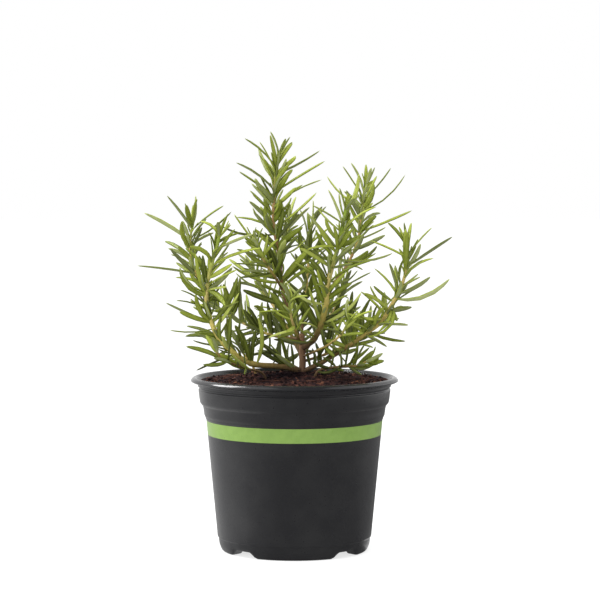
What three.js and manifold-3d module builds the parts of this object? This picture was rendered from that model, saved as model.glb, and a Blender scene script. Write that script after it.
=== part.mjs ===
// A potted rosemary: a moulded nursery pot, potting mix, a woody trunk and its leafy shoots.
// Millimetres, +Z up. The origin is on the surface, under the middle of the pot.
// The side that is seen from the front faces -Y.

import * as THREE from 'three';
import * as BufferGeometryUtils from 'three/addons/utils/BufferGeometryUtils.js';
import Module from 'manifold-3d';

const wasm = await Module();
wasm.setup();

// ---------------------------------------------------------------- driving dimensions

const RIM_DIAMETER = 120; // over the rolled lip
const POT_HEIGHT = 100.6; // surface to the crown of the lip
const WALL = 1.2; // moulded wall, floor and foot
const FIT_GAP = 0.3; // between pieces that touch
const POT_SIDES = 36; // facets round the pot

const FOOT_RADIUS = 41; // outer edge of the four feet
const RECESS_RADIUS = 35; // hollow under the floor, inside the feet
const RECESS_HEIGHT = 4.2;
const NOTCH_HEIGHT = 3.3; // gap between two feet
const NOTCH_WIDE = 10.5; // its half width on the surface
const NOTCH_NARROW = 5.5; // its half width at the top
const NOTCH_COUNT = 4;
const DRAIN_SLOT = { wide: 7, deep: 6, radius: 38 }; // in the roof of each notch

const SOIL_EDGE = 98.3; // level of the potting mix at the wall
const SOIL_MOUND = 4.6; // rise of the mix towards the trunk
const SOIL_LUMP = 0.7; // height of its crumbs

const LEAF_WIDTH = 2.6;
const LEAF_THICKNESS = 0.9;
const LEAF_FLOOR = 104.6; // no leaf hangs lower than this
const LEAF_CLEARANCE = 0.35; // between leaves of different shoots
const ROOT_WIDTH = 0.8; // a leaf's narrow foot, which starts at the middle of its stem
const TUFT = 4.5; // leaves of one shoot may touch this near to their stem
const STEM_SIDES = 5;
const SEED = 2718;

// ---------------------------------------------------------------- small helpers

// A closed geometry as a solid: shared vertices merged, slivers dropped, faces out.
function solid(geometry) {
  const bare = geometry.clone();
  bare.deleteAttribute('normal');
  bare.deleteAttribute('uv');
  const merged = BufferGeometryUtils.mergeVertices(bare, 1e-4);
  const place = merged.attributes.position;
  const corners = [];
  let volume = 0;
  const a = new THREE.Vector3();
  const b = new THREE.Vector3();
  const c = new THREE.Vector3();
  for (let i = 0; i < merged.index.count; i += 3) {
    const [p, q, r] = [0, 1, 2].map((k) => merged.index.getX(i + k));
    if (p === q || q === r || r === p) continue;
    corners.push(p, q, r);
    a.fromBufferAttribute(place, p);
    b.fromBufferAttribute(place, q);
    c.fromBufferAttribute(place, r);
    volume += a.dot(b.cross(c));
  }
  if (volume < 0) corners.reverse();
  return new wasm.Manifold(
    new wasm.Mesh({
      numProp: 3,
      vertProperties: new Float32Array(place.array),
      triVerts: new Uint32Array(corners),
    }),
  );
}

// A solid's largest piece as a named mesh of the scene.
function toMesh(name, body, colour, roughness) {
  const pieces = body.decompose().sort((p, q) => q.volume() - p.volume());
  const { vertProperties, triVerts } = pieces[0].getMesh();
  const geometry = new THREE.BufferGeometry();
  geometry.setAttribute('position', new THREE.BufferAttribute(new Float32Array(vertProperties), 3));
  geometry.setIndex(new THREE.BufferAttribute(new Uint32Array(triVerts), 1));
  geometry.computeVertexNormals();
  const material = new THREE.MeshStandardMaterial({ color: colour, roughness, metalness: 0 });
  const mesh = new THREE.Mesh(geometry, material);
  mesh.name = name;
  return mesh;
}

// A profile of [radius, height] points turned round the Z axis.
function turned(profile) {
  const points = profile.map(([radius, height]) => new THREE.Vector2(radius, height));
  return new THREE.LatheGeometry(points, POT_SIDES).rotateX(Math.PI / 2);
}

// A closed skin over a row of rings, with flat ends or a pointed far end.
function skin(rings, tip) {
  const count = rings[0].length;
  const points = rings.flat();
  const corners = [];
  for (let i = 0; i + 1 < rings.length; i += 1) {
    for (let j = 0; j < count; j += 1) {
      const k = (j + 1) % count;
      const near = i * count;
      const far = near + count;
      corners.push(near + j, near + k, far + k, near + j, far + k, far + j);
    }
  }
  const last = (rings.length - 1) * count;
  for (let j = 1; j + 1 < count; j += 1) corners.push(0, j + 1, j);
  if (tip) {
    for (let j = 0; j < count; j += 1) corners.push(last + j, last + ((j + 1) % count), points.length);
    points.push(tip);
  } else {
    for (let j = 1; j + 1 < count; j += 1) corners.push(last, last + j, last + j + 1);
  }
  const geometry = new THREE.BufferGeometry().setFromPoints(points);
  geometry.setIndex(corners);
  return geometry;
}

// Numbers from 0 to 1 that are the same each time for one seed.
function seeded(seed) {
  let state = seed >>> 0;
  return () => {
    state = (state + 0x6d2b79f5) >>> 0;
    let mixed = Math.imul(state ^ (state >>> 15), state | 1);
    mixed ^= mixed + Math.imul(mixed ^ (mixed >>> 7), mixed | 61);
    return ((mixed ^ (mixed >>> 14)) >>> 0) / 4294967296;
  };
}

const mix = (from, to, share) => from + (to - from) * share;

// ---------------------------------------------------------------- pot

const RIM = RIM_DIAMETER / 2;

// Outside of the pot, from the foot to the crown of the lip.
const POT_OUTSIDE = [
  [FOOT_RADIUS, 0],
  [FOOT_RADIUS + 1.5, 0.9],
  [FOOT_RADIUS + 2.5, 3.3],
  [FOOT_RADIUS + 3.1, 7.6],
  [FOOT_RADIUS + 3.6, 8.8],
  [RIM - 8.9, 76.2],
  [RIM - 8.7, 77.8],
  [RIM - 7.6, 79.3],
  [RIM - 6.9, 84.6],
  [RIM - 5.8, 87],
  [RIM - 5.1, 91.5],
  [RIM - 4.9, 94.4],
  [RIM - 3.6, 96.5],
  [RIM - 1.2, 97.5],
  [RIM, 98.9],
  [RIM - 0.3, POT_HEIGHT - 0.5],
  [RIM - 1.5, POT_HEIGHT],
];

// Inside of the pot, from the lip down to the foot, which is hollow too.
const POT_INSIDE = [
  [RIM - 2.9, POT_HEIGHT - 0.3],
  [RIM - 3.9, POT_HEIGHT - 1.7],
  [RIM - 5.9, 95.6],
  [RIM - 6.3, 91],
  [RIM - 7.1, 86.4],
  [RIM - 8.2, 84],
  [RIM - 8.8, 80.2],
  [RIM - 10, 78],
  [FOOT_RADIUS + 2.3, 9.6],
  [FOOT_RADIUS + 1.2, 3.9],
  [FOOT_RADIUS + 0.2, 1.7],
  [FOOT_RADIUS - 0.8, WALL],
  [RECESS_RADIUS + WALL, WALL],
  [RECESS_RADIUS + 0.4, RECESS_HEIGHT + WALL],
  [0, RECESS_HEIGHT + WALL],
];

// A wedge under the pot between two feet, grown all round by a margin.
function notch(index, margin) {
  const wide = NOTCH_WIDE + margin * 1.6;
  const narrow = NOTCH_NARROW + margin;
  const top = NOTCH_HEIGHT + margin;
  const slope = (wide - narrow) / top;
  const shape = new THREE.Shape([
    new THREE.Vector2(-wide - slope, -1),
    new THREE.Vector2(wide + slope, -1),
    new THREE.Vector2(narrow, top),
    new THREE.Vector2(-narrow, top),
  ]);
  const inner = RECESS_RADIUS - 5;
  const geometry = new THREE.ExtrudeGeometry(shape, { depth: 24, bevelEnabled: false });
  return solid(geometry.translate(0, 0, inner).applyMatrix4(radialFrame(index)));
}

// X along the wall, Y up and Z outwards, at one notch.
function radialFrame(index) {
  const angle = ((index + 0.5) * 2 * Math.PI) / NOTCH_COUNT;
  return new THREE.Matrix4().makeBasis(
    new THREE.Vector3(-Math.sin(angle), Math.cos(angle), 0),
    new THREE.Vector3(0, 0, 1),
    new THREE.Vector3(Math.cos(angle), Math.sin(angle), 0),
  );
}

function drainSlot(index) {
  const { wide, deep, radius } = DRAIN_SLOT;
  const geometry = new THREE.BoxGeometry(wide, 6, deep).translate(0, 5, radius);
  return solid(geometry.applyMatrix4(radialFrame(index)));
}

function makePot() {
  const outline = [
    [0, RECESS_HEIGHT],
    [RECESS_RADIUS - 0.8, RECESS_HEIGHT],
    [RECESS_RADIUS, 0],
    ...POT_OUTSIDE,
    [RIM - 2.9, POT_HEIGHT - 0.3],
    [0, POT_HEIGHT - 0.3],
  ];
  let hollow = solid(turned([[0, POT_HEIGHT + 2], [RIM - 2.2, POT_HEIGHT + 2], ...POT_INSIDE]));
  let body = solid(turned(outline));
  for (let i = 0; i < NOTCH_COUNT; i += 1) {
    hollow = hollow.subtract(notch(i, WALL));
    body = body.subtract(notch(i, 0)).subtract(drainSlot(i));
  }
  return body.subtract(hollow);
}

// ---------------------------------------------------------------- potting mix

// The crumbly top: a low mound with lumps of three sizes.
function soilTop(x, y) {
  const share = Math.min(1, Math.hypot(x - 4, y - 2) / 52);
  const mound = SOIL_MOUND * (1 - share) ** 1.3;
  const lumps = Math.sin(x * 0.33 + 1.1) * Math.cos(y * 0.29)
    + 0.7 * Math.sin(x * 0.71 - y * 0.53)
    + 0.5 * Math.cos(x * 0.23 + y * 0.97);
  return mound + SOIL_LUMP * 0.5 * lumps * (1 - share ** 4);
}

// The mix fills the pot, its hollow feet too, and keeps the fit gap to every wall.
const SOIL_SIDE = [
  [RIM - 6.4, 95.2],
  [RIM - 9.2, 82],
  [RIM - 10.4, 77.6],
  [FOOT_RADIUS + 1.7, 8],
  [FOOT_RADIUS - 1.2, WALL + FIT_GAP],
  [RECESS_RADIUS + 1.7, WALL + FIT_GAP],
  [RECESS_RADIUS + 0.6, RECESS_HEIGHT + WALL + FIT_GAP],
  [0, RECESS_HEIGHT + WALL + FIT_GAP],
];
const SOIL_RINGS = 7;

function makeSoil(standing) {
  const edge = RIM - 5.6;
  const top = [];
  for (let i = 0; i <= SOIL_RINGS; i += 1) top.push([(edge * i) / SOIL_RINGS, SOIL_EDGE]);
  const geometry = turned([...top, ...SOIL_SIDE]);
  const place = geometry.attributes.position;
  for (let i = 0; i < place.count; i += 1) {
    if (place.getZ(i) > SOIL_EDGE - 0.01) {
      place.setZ(i, SOIL_EDGE + soilTop(place.getX(i), place.getY(i)));
    }
  }
  let body = solid(geometry);
  for (let i = 0; i < NOTCH_COUNT; i += 1) body = body.subtract(notch(i, WALL + FIT_GAP));
  for (const stem of standing) body = body.subtract(stemSolid(stem, FIT_GAP));
  return body;
}

// ---------------------------------------------------------------- trunk and shoots

// Each shoot grows on another piece. Its route runs from the middle of that piece to its own
// tip. The first share of it is leafless, then come pairs of leaves that turn a quarter from
// one pair to the next. The long outer leaves are placed one by one:
// [share of the route, tip x, y, z, rise of the middle of the leaf].
const TRUNK = {
  name: 'trunk',
  thick: 2.3,
  thin: 1.7,
  route: [[3.6, 1.8, 88], [4.2, 2, 97], [4.6, 2.2, 106], [4.4, 2.4, 115], [4, 3, 125]],
};

const SHOOTS = [
  {
    name: 'shoot_leader', on: 'trunk', thick: 1.35, thin: 0.7, leafless: 0.2, pairs: 8, reach: 20,
    route: [[4, 3, 121], [0, 3, 129], [-4, 4, 142], [-7, 5, 151], [-9, 6, 170], [-12, 7, 188],
      [-12, 7, 202], [-11, 6, 215], [-9, 5, 227]],
    placed: [[1, -14, 4, 242, 0.6], [0.99, -5, 9, 238, 0], [0.97, -1, 0, 236, 0.5],
      [0.93, -29, 3, 238, 1], [0.91, -20, -5, 236, 0.5], [0.91, 15, 10, 231, 0.4],
      [0.88, -21, 12, 229, 1], [0.88, 1, 14, 228, 0.6], [0.82, -34, 6, 224, 1],
      [0.81, 18, 12, 225, 0], [0.79, -32, -4, 219, 0.5], [0.74, 16, 16, 214, 0],
      [0.75, -23, -7, 214, 0], [0.71, 5, 17, 211, 1], [0.73, -25, 0, 212, 0.5],
      [0.63, -26, -8, 202, 0], [0.62, 13, -1, 207, -2], [0.59, -43, -2, 188, -2],
      [0.6, -34, 18, 192, 1], [0.55, 3, -12, 195, 1], [0.46, 3, -15, 183, 0.5]],
  },
  {
    name: 'shoot_leader_front', on: 'shoot_leader', thick: 0.95, thin: 0.65, leafless: 0.2,
    pairs: 4, reach: 16,
    route: [[-7, 5, 151], [-11, -2, 158], [-15, -8, 164], [-19, -13, 171], [-22, -16, 178]],
    placed: [[0.88, -29, -12, 182, 0], [0.98, -23, -24, 186, 0.5], [0.95, -18, -12, 187, 0],
      [0.72, -33, -20, 175, 1], [0.58, -27, -31, 167, 1], [0.52, -35, -5, 166, 1],
      [0.73, -9, -27, 181, 0.5], [0.39, -31, -25, 159, 1]],
  },
  {
    name: 'shoot_leader_back', on: 'shoot_leader', thick: 0.95, thin: 0.65, leafless: 0.25,
    pairs: 4, reach: 15,
    route: [[-8, 6, 162], [-6, 14, 173], [-4, 20, 183], [-3, 23, 190]],
    placed: [[0.96, 1, 30, 204, 0.5], [0.83, 9, 22, 198, 0.5], [0.6, 6, 38, 188, 1],
      [0.94, -8, 34, 202, 0]],
  },
  {
    name: 'shoot_left_main', on: 'trunk', thick: 1.6, thin: 0.7, leafless: 0.42, pairs: 8,
    reach: 18,
    route: [[4, 2, 103], [-3, -2, 106], [-11, -5, 107], [-25, -10, 109], [-37, -13, 117],
      [-45, -14, 127], [-50, -14, 143], [-49, -17, 158], [-45, -22, 173], [-42, -24, 184]],
    placed: [[0.97, -53, -27, 191, 2.2], [0.98, -43, -30, 191, 0], [0.98, -36, -18, 189, 0],
      [0.92, -23, -35, 184, 1.5], [0.95, -31, -12, 184, 0], [0.83, -18, -28, 176, 1.5],
      [0.7, -65, -28, 165, -3], [0.66, -67, -20, 155, 1], [0.61, -67, -26, 146, 0.5],
      [0.55, -74, -10, 144, 0.5], [0.52, -71, -22, 129, -2], [0.46, -63, -4, 124, 1],
      [0.41, -55, -24, 127, 0.5], [0.73, -32, -34, 164, 1], [0.6, -31, -30, 146, 1],
      [0.8, -62, -24, 176, 1], [0.68, -28, -6, 155, 1]],
  },
  {
    name: 'shoot_left_outer', on: 'shoot_left_main', thick: 0.95, thin: 0.65, leafless: 0.12,
    pairs: 6, reach: 16,
    route: [[-51, -14, 146], [-54, -10, 155], [-57, -5, 161], [-60, 0, 171], [-60, 4, 181],
      [-59, 6, 188]],
    placed: [[0.37, -90.5, -8, 165, -2], [0.8, -87, 4, 195, -0.6], [0.95, -74, 8, 205, -0.5],
      [0.99, -57, 4, 205, 0], [0.96, -63, 0, 201, 0.5], [0.92, -41, 14, 199, 0.8],
      [0.81, -36, -2, 196, -0.5], [0.7, -64, -8, 191, 1], [0.34, -71, -14, 175, 1.5],
      [0.72, -47, 20, 183, 1], [0.3, -69, 11, 166, 1], [0.59, -76, 20, 178, 1]],
  },
  {
    name: 'shoot_left_inner', on: 'trunk', thick: 1.05, thin: 0.65, leafless: 0.3, pairs: 7,
    reach: 18,
    route: [[4, 3, 122], [-5, 14, 122], [-14, 21, 123], [-23, 27, 126], [-32, 31, 130],
      [-41, 33, 135], [-47, 33, 140]],
    placed: [[0.9, -41, 38, 155, 1], [0.98, -58, 36, 150, 0.5], [0.94, -60, 40, 139, 0.5],
      [0.98, -48, 28, 155, 0.5], [0.72, -32, 30, 149, 0.5], [0.62, -29, 44, 146, 0.5],
      [0.49, -19, 34, 142, 0.5]],
  },
  {
    name: 'shoot_back_high', on: 'trunk', thick: 1.05, thin: 0.65, leafless: 0.3, pairs: 7,
    reach: 20,
    route: [[4, 4, 123], [5, 13, 136], [7, 22, 152], [8, 29, 165], [7, 34, 175], [10, 38, 186]],
    placed: [[0.96, 11, 36, 202, 0.4], [0.93, 19, 44, 198, 0.5], [0.89, 3, 42, 196, 0.5],
      [0.82, 21, 34, 186, 0.5], [0.77, -3, 44, 181, 1], [0.71, 20, 48, 174, 1]],
  },
  {
    name: 'shoot_right_front', on: 'trunk', thick: 1.5, thin: 0.7, leafless: 0.18, pairs: 9,
    reach: 19,
    route: [[5, 2, 117], [11, -2, 122], [15, -6, 130], [18, -10, 142], [19, -13, 153],
      [21, -15, 163], [24, -17, 173], [26, -19, 181], [28, -20, 192], [30, -20, 200]],
    placed: [[0.87, 19, -22, 209, 1], [0.99, 30, -20, 207, 0], [0.96, 34, -28, 204, 0],
      [0.88, 10, -24, 200, -0.5], [0.72, 7, -30, 196, 1], [0.83, 13, -10, 198, 0.5],
      [0.82, 47, -14, 199, 1.5], [0.66, 56, -24, 173, -2.5], [0.63, 3, -34, 180, 0.5],
      [0.49, 0, -30, 168, 0.5], [0.42, 12, -40, 156, 0.5], [0.59, 33, -39, 168, 1],
      [0.49, 44, -31, 169, 1], [0.35, 3, -34, 152, 1], [0.23, 35, -30, 121, 1.5]],
  },
  {
    name: 'shoot_right_tall', on: 'shoot_right_front', thick: 1.05, thin: 0.65, leafless: 0.3,
    pairs: 7, reach: 16,
    route: [[18, -10, 142], [22, 0, 153], [29, 10, 162], [35, 18, 173], [38, 23, 183],
      [40, 27, 197], [42, 28, 211]],
    placed: [[0.92, 33, 31, 224, 0.5], [0.9, 28, 22, 222, 0.5], [0.84, 19, 34, 216, -1],
      [0.99, 42, 31, 223, 0], [0.98, 45, 24, 221, 0], [0.9, 57, 34, 221, 0.5],
      [0.85, 49, 36, 216, 1.5], [0.82, 65, 26, 217, -1], [0.76, 30, 17, 208, 0.5],
      [0.67, 69, 23, 196, -1.5], [0.72, 51, 37, 194, 1], [0.53, 53, 13, 182, -0.5],
      [0.61, 54, 31, 186, 0.5], [0.59, 24, 34, 188, 0.5], [0.39, 48, 25, 171, 0.5]],
  },
  {
    name: 'shoot_right_main', on: 'trunk', thick: 1.6, thin: 0.75, leafless: 0.34, pairs: 8,
    reach: 16,
    route: [[4, 2, 103], [16, -3, 109], [30, -7, 118], [40, -8, 125], [50, -8, 133],
      [56, -8, 143], [61, -8, 152], [64, -9, 163], [65, -10, 173], [64, -11, 180]],
    placed: [[0.88, 63, -1, 190, 0.5], [0.95, 53, -14, 190, 1], [0.9, 44, -3, 179, 0.5],
      [0.91, 79, -8, 187, 1], [0.85, 90.5, -14, 182, 0.5], [0.79, 73, -21, 169, 0],
      [0.73, 73, 5, 158, 0], [0.67, 89, -12, 158, -3.5], [0.7, 54, -17, 167, 0.5],
      [0.69, 46, 3, 163, 1], [0.59, 43, -13, 154, 0], [0.56, 38, -2, 150, 0.5],
      [0.5, 66, 2, 130, 0.5], [0.59, 67, -19, 142, 0], [0.49, 33, -21, 141, 1],
      [0.44, 31, -24, 133, 1], [0.92, 70, -26, 181, 0], [0.41, 53, -17, 119, 0.5],
      [0.61, 59, -21, 133, 0.5]],
  },
  {
    name: 'shoot_low_right', on: 'soil', thick: 1, thin: 0.6, leafless: 0.35, pairs: 5, reach: 14,
    route: [[10, -10, 93], [13, -11, 104], [21, -15, 107], [29, -20, 108], [36, -24, 109],
      [42, -27, 112]],
    placed: [[0.95, 50, -35, 117, -1], [0.8, 40, -22, 121, 0], [0.6, 25, -27, 119, 0.5],
      [0.85, 48, -15, 109, 0.5], [0.97, 51, -28, 112, 0]],
  },
  {
    name: 'shoot_low_front_left', on: 'soil', thick: 0.9, thin: 0.6, leafless: 0.4, pairs: 4,
    reach: 13,
    route: [[-15, -7, 93], [-18, -11, 103], [-27, -21, 107], [-34, -28, 110], [-40, -33, 113],
      [-44, -36, 118]],
    placed: [[0.88, -61, -38, 121, 1], [0.74, -45, -46, 115, 0.5], [0.95, -50, -32, 127, 0.5],
      [0.78, -36, -42, 125, 0.5], [0.97, -46, -49, 127, 0.5]],
  },
  {
    name: 'shoot_low_back_left', on: 'trunk', thick: 0.9, thin: 0.6, leafless: 0.4, pairs: 5,
    reach: 14,
    route: [[4, 4, 104], [-3, 12, 107], [-8, 19, 110], [-16, 27, 114], [-22, 33, 119]],
    placed: [[0.93, -28, 40, 132, 0.5], [0.91, -18, 28, 132, 0.5], [0.58, -19, 14, 113, 0.5]],
  },
  {
    name: 'shoot_low_left', on: 'soil', thick: 0.9, thin: 0.6, leafless: 0.45, pairs: 4,
    reach: 14,
    route: [[-20, 14, 90], [-24, 17, 104], [-30, 22, 112], [-35, 26, 121]],
    placed: [],
  },
  {
    name: 'shoot_back_left', on: 'trunk', thick: 1.05, thin: 0.65, leafless: 0.3, pairs: 7,
    reach: 20,
    route: [[4, 4, 112], [1, 14, 117], [-4, 27, 126], [-12, 38, 138], [-20, 46, 150],
      [-25, 51, 160]],
    placed: [[0.98, -26, 60, 175, 0.5], [0.9, -40, 62, 166, 0.5], [0.8, -18, 64, 160, 1]],
  },
  {
    name: 'shoot_back_right', on: 'trunk', thick: 1.05, thin: 0.65, leafless: 0.3, pairs: 7,
    reach: 20,
    route: [[5, 3, 113], [11, 13, 121], [19, 26, 131], [26, 38, 142], [30, 47, 154]],
    placed: [[0.98, 32, 55, 168, 0.5], [0.9, 46, 58, 158, 0.5], [0.8, 22, 63, 155, 1]],
  },
  {
    name: 'shoot_back_low', on: 'trunk', thick: 1, thin: 0.65, leafless: 0.3, pairs: 7, reach: 19,
    route: [[4, 4, 108], [3, 18, 113], [1, 33, 120], [-2, 46, 129], [-4, 54, 140]],
    placed: [[0.97, -8, 62, 154, 0.5], [0.9, 6, 66, 147, 1], [0.75, -12, 65, 134, 1]],
  },
  {
    name: 'shoot_low_back_right', on: 'trunk', thick: 1, thin: 0.65, leafless: 0.3, pairs: 6,
    reach: 18,
    route: [[5, 3, 109], [17, 12, 112], [30, 22, 117], [41, 30, 124], [48, 35, 132]],
    placed: [[0.95, 60, 44, 145, 0.5], [0.85, 62, 30, 132, 0.5], [0.8, 40, 52, 136, 1]],
  },
  {
    name: 'shoot_front_low', on: 'trunk', thick: 0.9, thin: 0.65, leafless: 0.3, pairs: 5,
    reach: 16,
    route: [[4, 2, 119], [2, -9, 124], [0, -20, 130], [-2, -31, 138], [-3, -38, 147]],
    placed: [[0.97, -8, -56, 158, 0.5], [0.9, 8, -66, 151, 1], [0.8, -20, -52, 141, 1]],
  },
  {
    name: 'shoot_front_right', on: 'trunk', thick: 0.9, thin: 0.65, leafless: 0.35, pairs: 5,
    reach: 15,
    route: [[5, 2, 112], [12, -10, 116], [20, -21, 121], [27, -31, 128], [31, -38, 137]],
    placed: [[0.97, 30, -56, 149, 0.5], [0.9, 44, -54, 142, 0.5], [0.75, 16, -58, 133, 1]],
  },
];

// The smooth middle line of a stem, through the points of its route.
function stemCurve(stem) {
  const points = stem.route.map((point) => new THREE.Vector3(...point));
  return new THREE.CatmullRomCurve3(points, false, 'catmullrom', 0.5);
}

const stemRadius = (stem, share) => mix(stem.thick, stem.thin, share);

// Points and radii along a stem, at even steps.
function stemStations(stem) {
  const curve = stemCurve(stem);
  const steps = Math.max(5, Math.round(curve.getLength() / 11));
  const stations = [];
  for (let i = 0; i <= steps; i += 1) {
    const share = i / steps;
    stations.push({
      point: curve.getPointAt(share),
      along: curve.getTangentAt(share),
      radius: stemRadius(stem, share),
    });
  }
  return stations;
}

// A tapering stem, its radius grown by a margin.
function stemSolid(stem, margin) {
  const stations = stemStations(stem);
  const sides = stem.name === 'trunk' ? STEM_SIDES + 3 : STEM_SIDES;
  let across = new THREE.Vector3(0.9, 0.3, 0.2);
  const rings = stations.map(({ point, along, radius }) => {
    across = across.clone().addScaledVector(along, -across.dot(along)).normalize();
    const other = along.clone().cross(across);
    const ring = [];
    for (let j = 0; j < sides; j += 1) {
      const angle = (j * 2 * Math.PI) / sides;
      ring.push(point.clone()
        .addScaledVector(across, Math.cos(angle) * (radius + margin))
        .addScaledVector(other, Math.sin(angle) * (radius + margin)));
    }
    return ring;
  });
  return solid(skin(rings));
}

// ---------------------------------------------------------------- leaves

// A needle leaf: its bent middle line, the way its upper face looks and its width.
// The upper face looks towards the tip of the stem.
function leafFrom(curve, share, tip, rise, width) {
  const foot = curve.getPointAt(share);
  const along = curve.getTangentAt(share);
  const chord = tip.clone().sub(foot);
  const length = chord.length();
  chord.normalize();
  const face = along.clone().addScaledVector(chord, -along.dot(chord)).normalize();
  const bend = foot.clone().lerp(tip, 0.45).addScaledVector(face, 2 * rise);
  return { line: new THREE.QuadraticBezierCurve3(foot, bend, tip), face, width, length };
}

// Sections along a leaf, from its narrow foot to just short of its blunt tip.
function leafSections(leaf) {
  const shares = leaf.length > 21 ? [0, 0.35, 0.86] : [0, 0.6];
  return shares.map((share) => {
    const along = leaf.line.getTangent(share);
    const face = leaf.face.clone().addScaledVector(along, -leaf.face.dot(along)).normalize();
    return {
      point: leaf.line.getPoint(share),
      face,
      side: face.clone().cross(along),
      width: share === 0 ? ROOT_WIDTH : leaf.width * (1.05 - 0.2 * share),
      thickness: share === 0 ? 0.7 * ROOT_WIDTH : LEAF_THICKNESS,
    };
  });
}

// A three-sided needle, flat below and ridged above.
function leafSolid(leaf) {
  const rings = leafSections(leaf).map(({ point, face, side, width, thickness }) => [
    point.clone().addScaledVector(side, width / 2).addScaledVector(face, -0.4 * thickness),
    point.clone().addScaledVector(face, 0.6 * thickness),
    point.clone().addScaledVector(side, -width / 2).addScaledVector(face, -0.4 * thickness),
  ]);
  return solid(skin(rings, leaf.line.getPoint(1)));
}

// ---------------------------------------------------------------- clearance between shoots

const taken = []; // straight stretches of all stems and leaves so far

function leafStretches(leaf, owner) {
  const start = TUFT / leaf.length;
  const shares = [0, start, mix(start, 1, 0.5), 1];
  const ends = shares.map((share) => leaf.line.getPoint(share));
  return ends.slice(1).map((to, i) => {
    const from = ends[i];
    const along = to.clone().sub(from).normalize();
    const face = leaf.face.clone().addScaledVector(along, -leaf.face.dot(along)).normalize();
    return {
      from, to, face, side: face.clone().cross(along), halfWidth: leaf.width / 2,
      halfThickness: LEAF_THICKNESS * 0.6, tuft: i === 0, owner,
    };
  });
}

function stemStretches(stem) {
  const stations = stemStations(stem);
  return stations.slice(1).map(({ point, radius }, i) => ({
    from: stations[i].point, to: point, radius: Math.max(radius, stations[i].radius),
    owner: stem.name,
  }));
}

// How far a stretch reaches from its middle line in one direction.
function reachTowards(stretch, way) {
  if (stretch.radius) return stretch.radius;
  return Math.abs(way.dot(stretch.side)) * stretch.halfWidth
    + Math.abs(way.dot(stretch.face)) * stretch.halfThickness;
}

// The shortest line between two stretches, as a vector.
function between(first, second) {
  const u = first.to.clone().sub(first.from);
  const v = second.to.clone().sub(second.from);
  const w = first.from.clone().sub(second.from);
  const [uu, uv, vv, uw, vw] = [u.dot(u), u.dot(v), v.dot(v), u.dot(w), v.dot(w)];
  const clamp = (value) => Math.min(1, Math.max(0, value));
  const spread = uu * vv - uv * uv;
  let s = spread > 1e-9 ? clamp((uv * vw - vv * uw) / spread) : 0;
  const t = clamp((uv * s + vw) / vv);
  s = clamp((uv * t - uw) / uu);
  return w.addScaledVector(u, s).addScaledVector(v, -t);
}

function isClear(leaf, owner) {
  const mine = leafStretches(leaf, owner);
  if (mine.some(({ from, to }) => Math.min(from.z, to.z) < LEAF_FLOOR)) return false;
  return mine.every((stretch) => taken.every((other) => {
    const own = other.owner === owner;
    if (own && (stretch.tuft || other.tuft || other.radius)) return true;
    const gap = between(stretch, other);
    const distance = gap.length();
    if (distance > 6) return true;
    gap.divideScalar(distance);
    return distance > reachTowards(stretch, gap) + reachTowards(other, gap) + LEAF_CLEARANCE;
  }));
}

// The first of a leaf's possible places that is clear of the other shoots is taken.
function settle(stem, places) {
  const leaf = places.find((place) => isClear(place, stem.name));
  if (!leaf) return;
  taken.push(...leafStretches(leaf, stem.name));
  stem.leaves.push(leaf);
}

// A placed leaf keeps its outline as seen from the front and may lean back or forth.
function placedLeaves(stem) {
  const curve = stemCurve(stem);
  for (const [share, x, y, z, rise] of stem.placed) {
    const leans = [0, 3, -3, 6, -6, 9, -9, 13, -13];
    settle(stem, leans.map((lean) => {
      const tip = new THREE.Vector3(x, y + lean, z);
      return leafFrom(curve, share, tip, rise, LEAF_WIDTH);
    }));
  }
}

// Pairs of leaves up the stem: long and spread below, short and steep at the tip.
function pairedLeaves(stem, index) {
  const random = seeded(SEED + index);
  const curve = stemCurve(stem);
  for (let i = 0; i < stem.pairs; i += 1) {
    const climb = (i + 0.5) / stem.pairs;
    const share = mix(stem.leafless, 1, climb ** 0.85);
    const along = curve.getTangentAt(share);
    const right = new THREE.Vector3(along.z, 0, -along.x).normalize();
    const back = right.clone().cross(along).negate();
    const quarter = (i % 2) * 0.5 * Math.PI + mix(-0.4, 0.4, random());
    for (const half of [0, Math.PI]) {
      const turn = quarter + half + mix(-0.25, 0.25, random());
      const spread = mix(1.15, 0.5, climb) + mix(-0.15, 0.15, random());
      const young = climb > 0.7 ? mix(1, 0.6, (climb - 0.7) / 0.3) : 1;
      const length = stem.reach * young * mix(0.75, 1.1, random());
      const rise = length * mix(-0.03, 0.08, random());
      const places = [];
      for (const swing of [0, 0.25, -0.25, 0.5, -0.5, 0.75, -0.75]) {
        for (const shorter of [1, 0.8]) {
          const out = right.clone().multiplyScalar(Math.cos(turn + swing))
            .addScaledVector(back, Math.sin(turn + swing));
          const way = along.clone().multiplyScalar(Math.cos(spread))
            .addScaledVector(out, Math.sin(spread));
          way.z += 0.15;
          const tip = curve.getPointAt(share).addScaledVector(way.normalize(), length * shorter);
          places.push(leafFrom(curve, share, tip, rise * shorter, LEAF_WIDTH));
        }
      }
      settle(stem, places);
    }
  }
}

// ---------------------------------------------------------------- assembly

const stems = [TRUNK, ...SHOOTS];
for (const stem of stems) taken.push(...stemStretches(stem));
for (const shoot of SHOOTS) {
  shoot.leaves = [];
  placedLeaves(shoot);
}
SHOOTS.forEach((shoot, index) => pairedLeaves(shoot, index));

// A shoot ends just off the piece that it grows on.
function makeShoot(shoot) {
  const whole = wasm.Manifold.union([stemSolid(shoot, 0), ...shoot.leaves.map(leafSolid)]);
  const parent = stems.find((stem) => stem.name === shoot.on);
  return parent ? whole.subtract(stemSolid(parent, FIT_GAP)) : whole;
}

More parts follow.
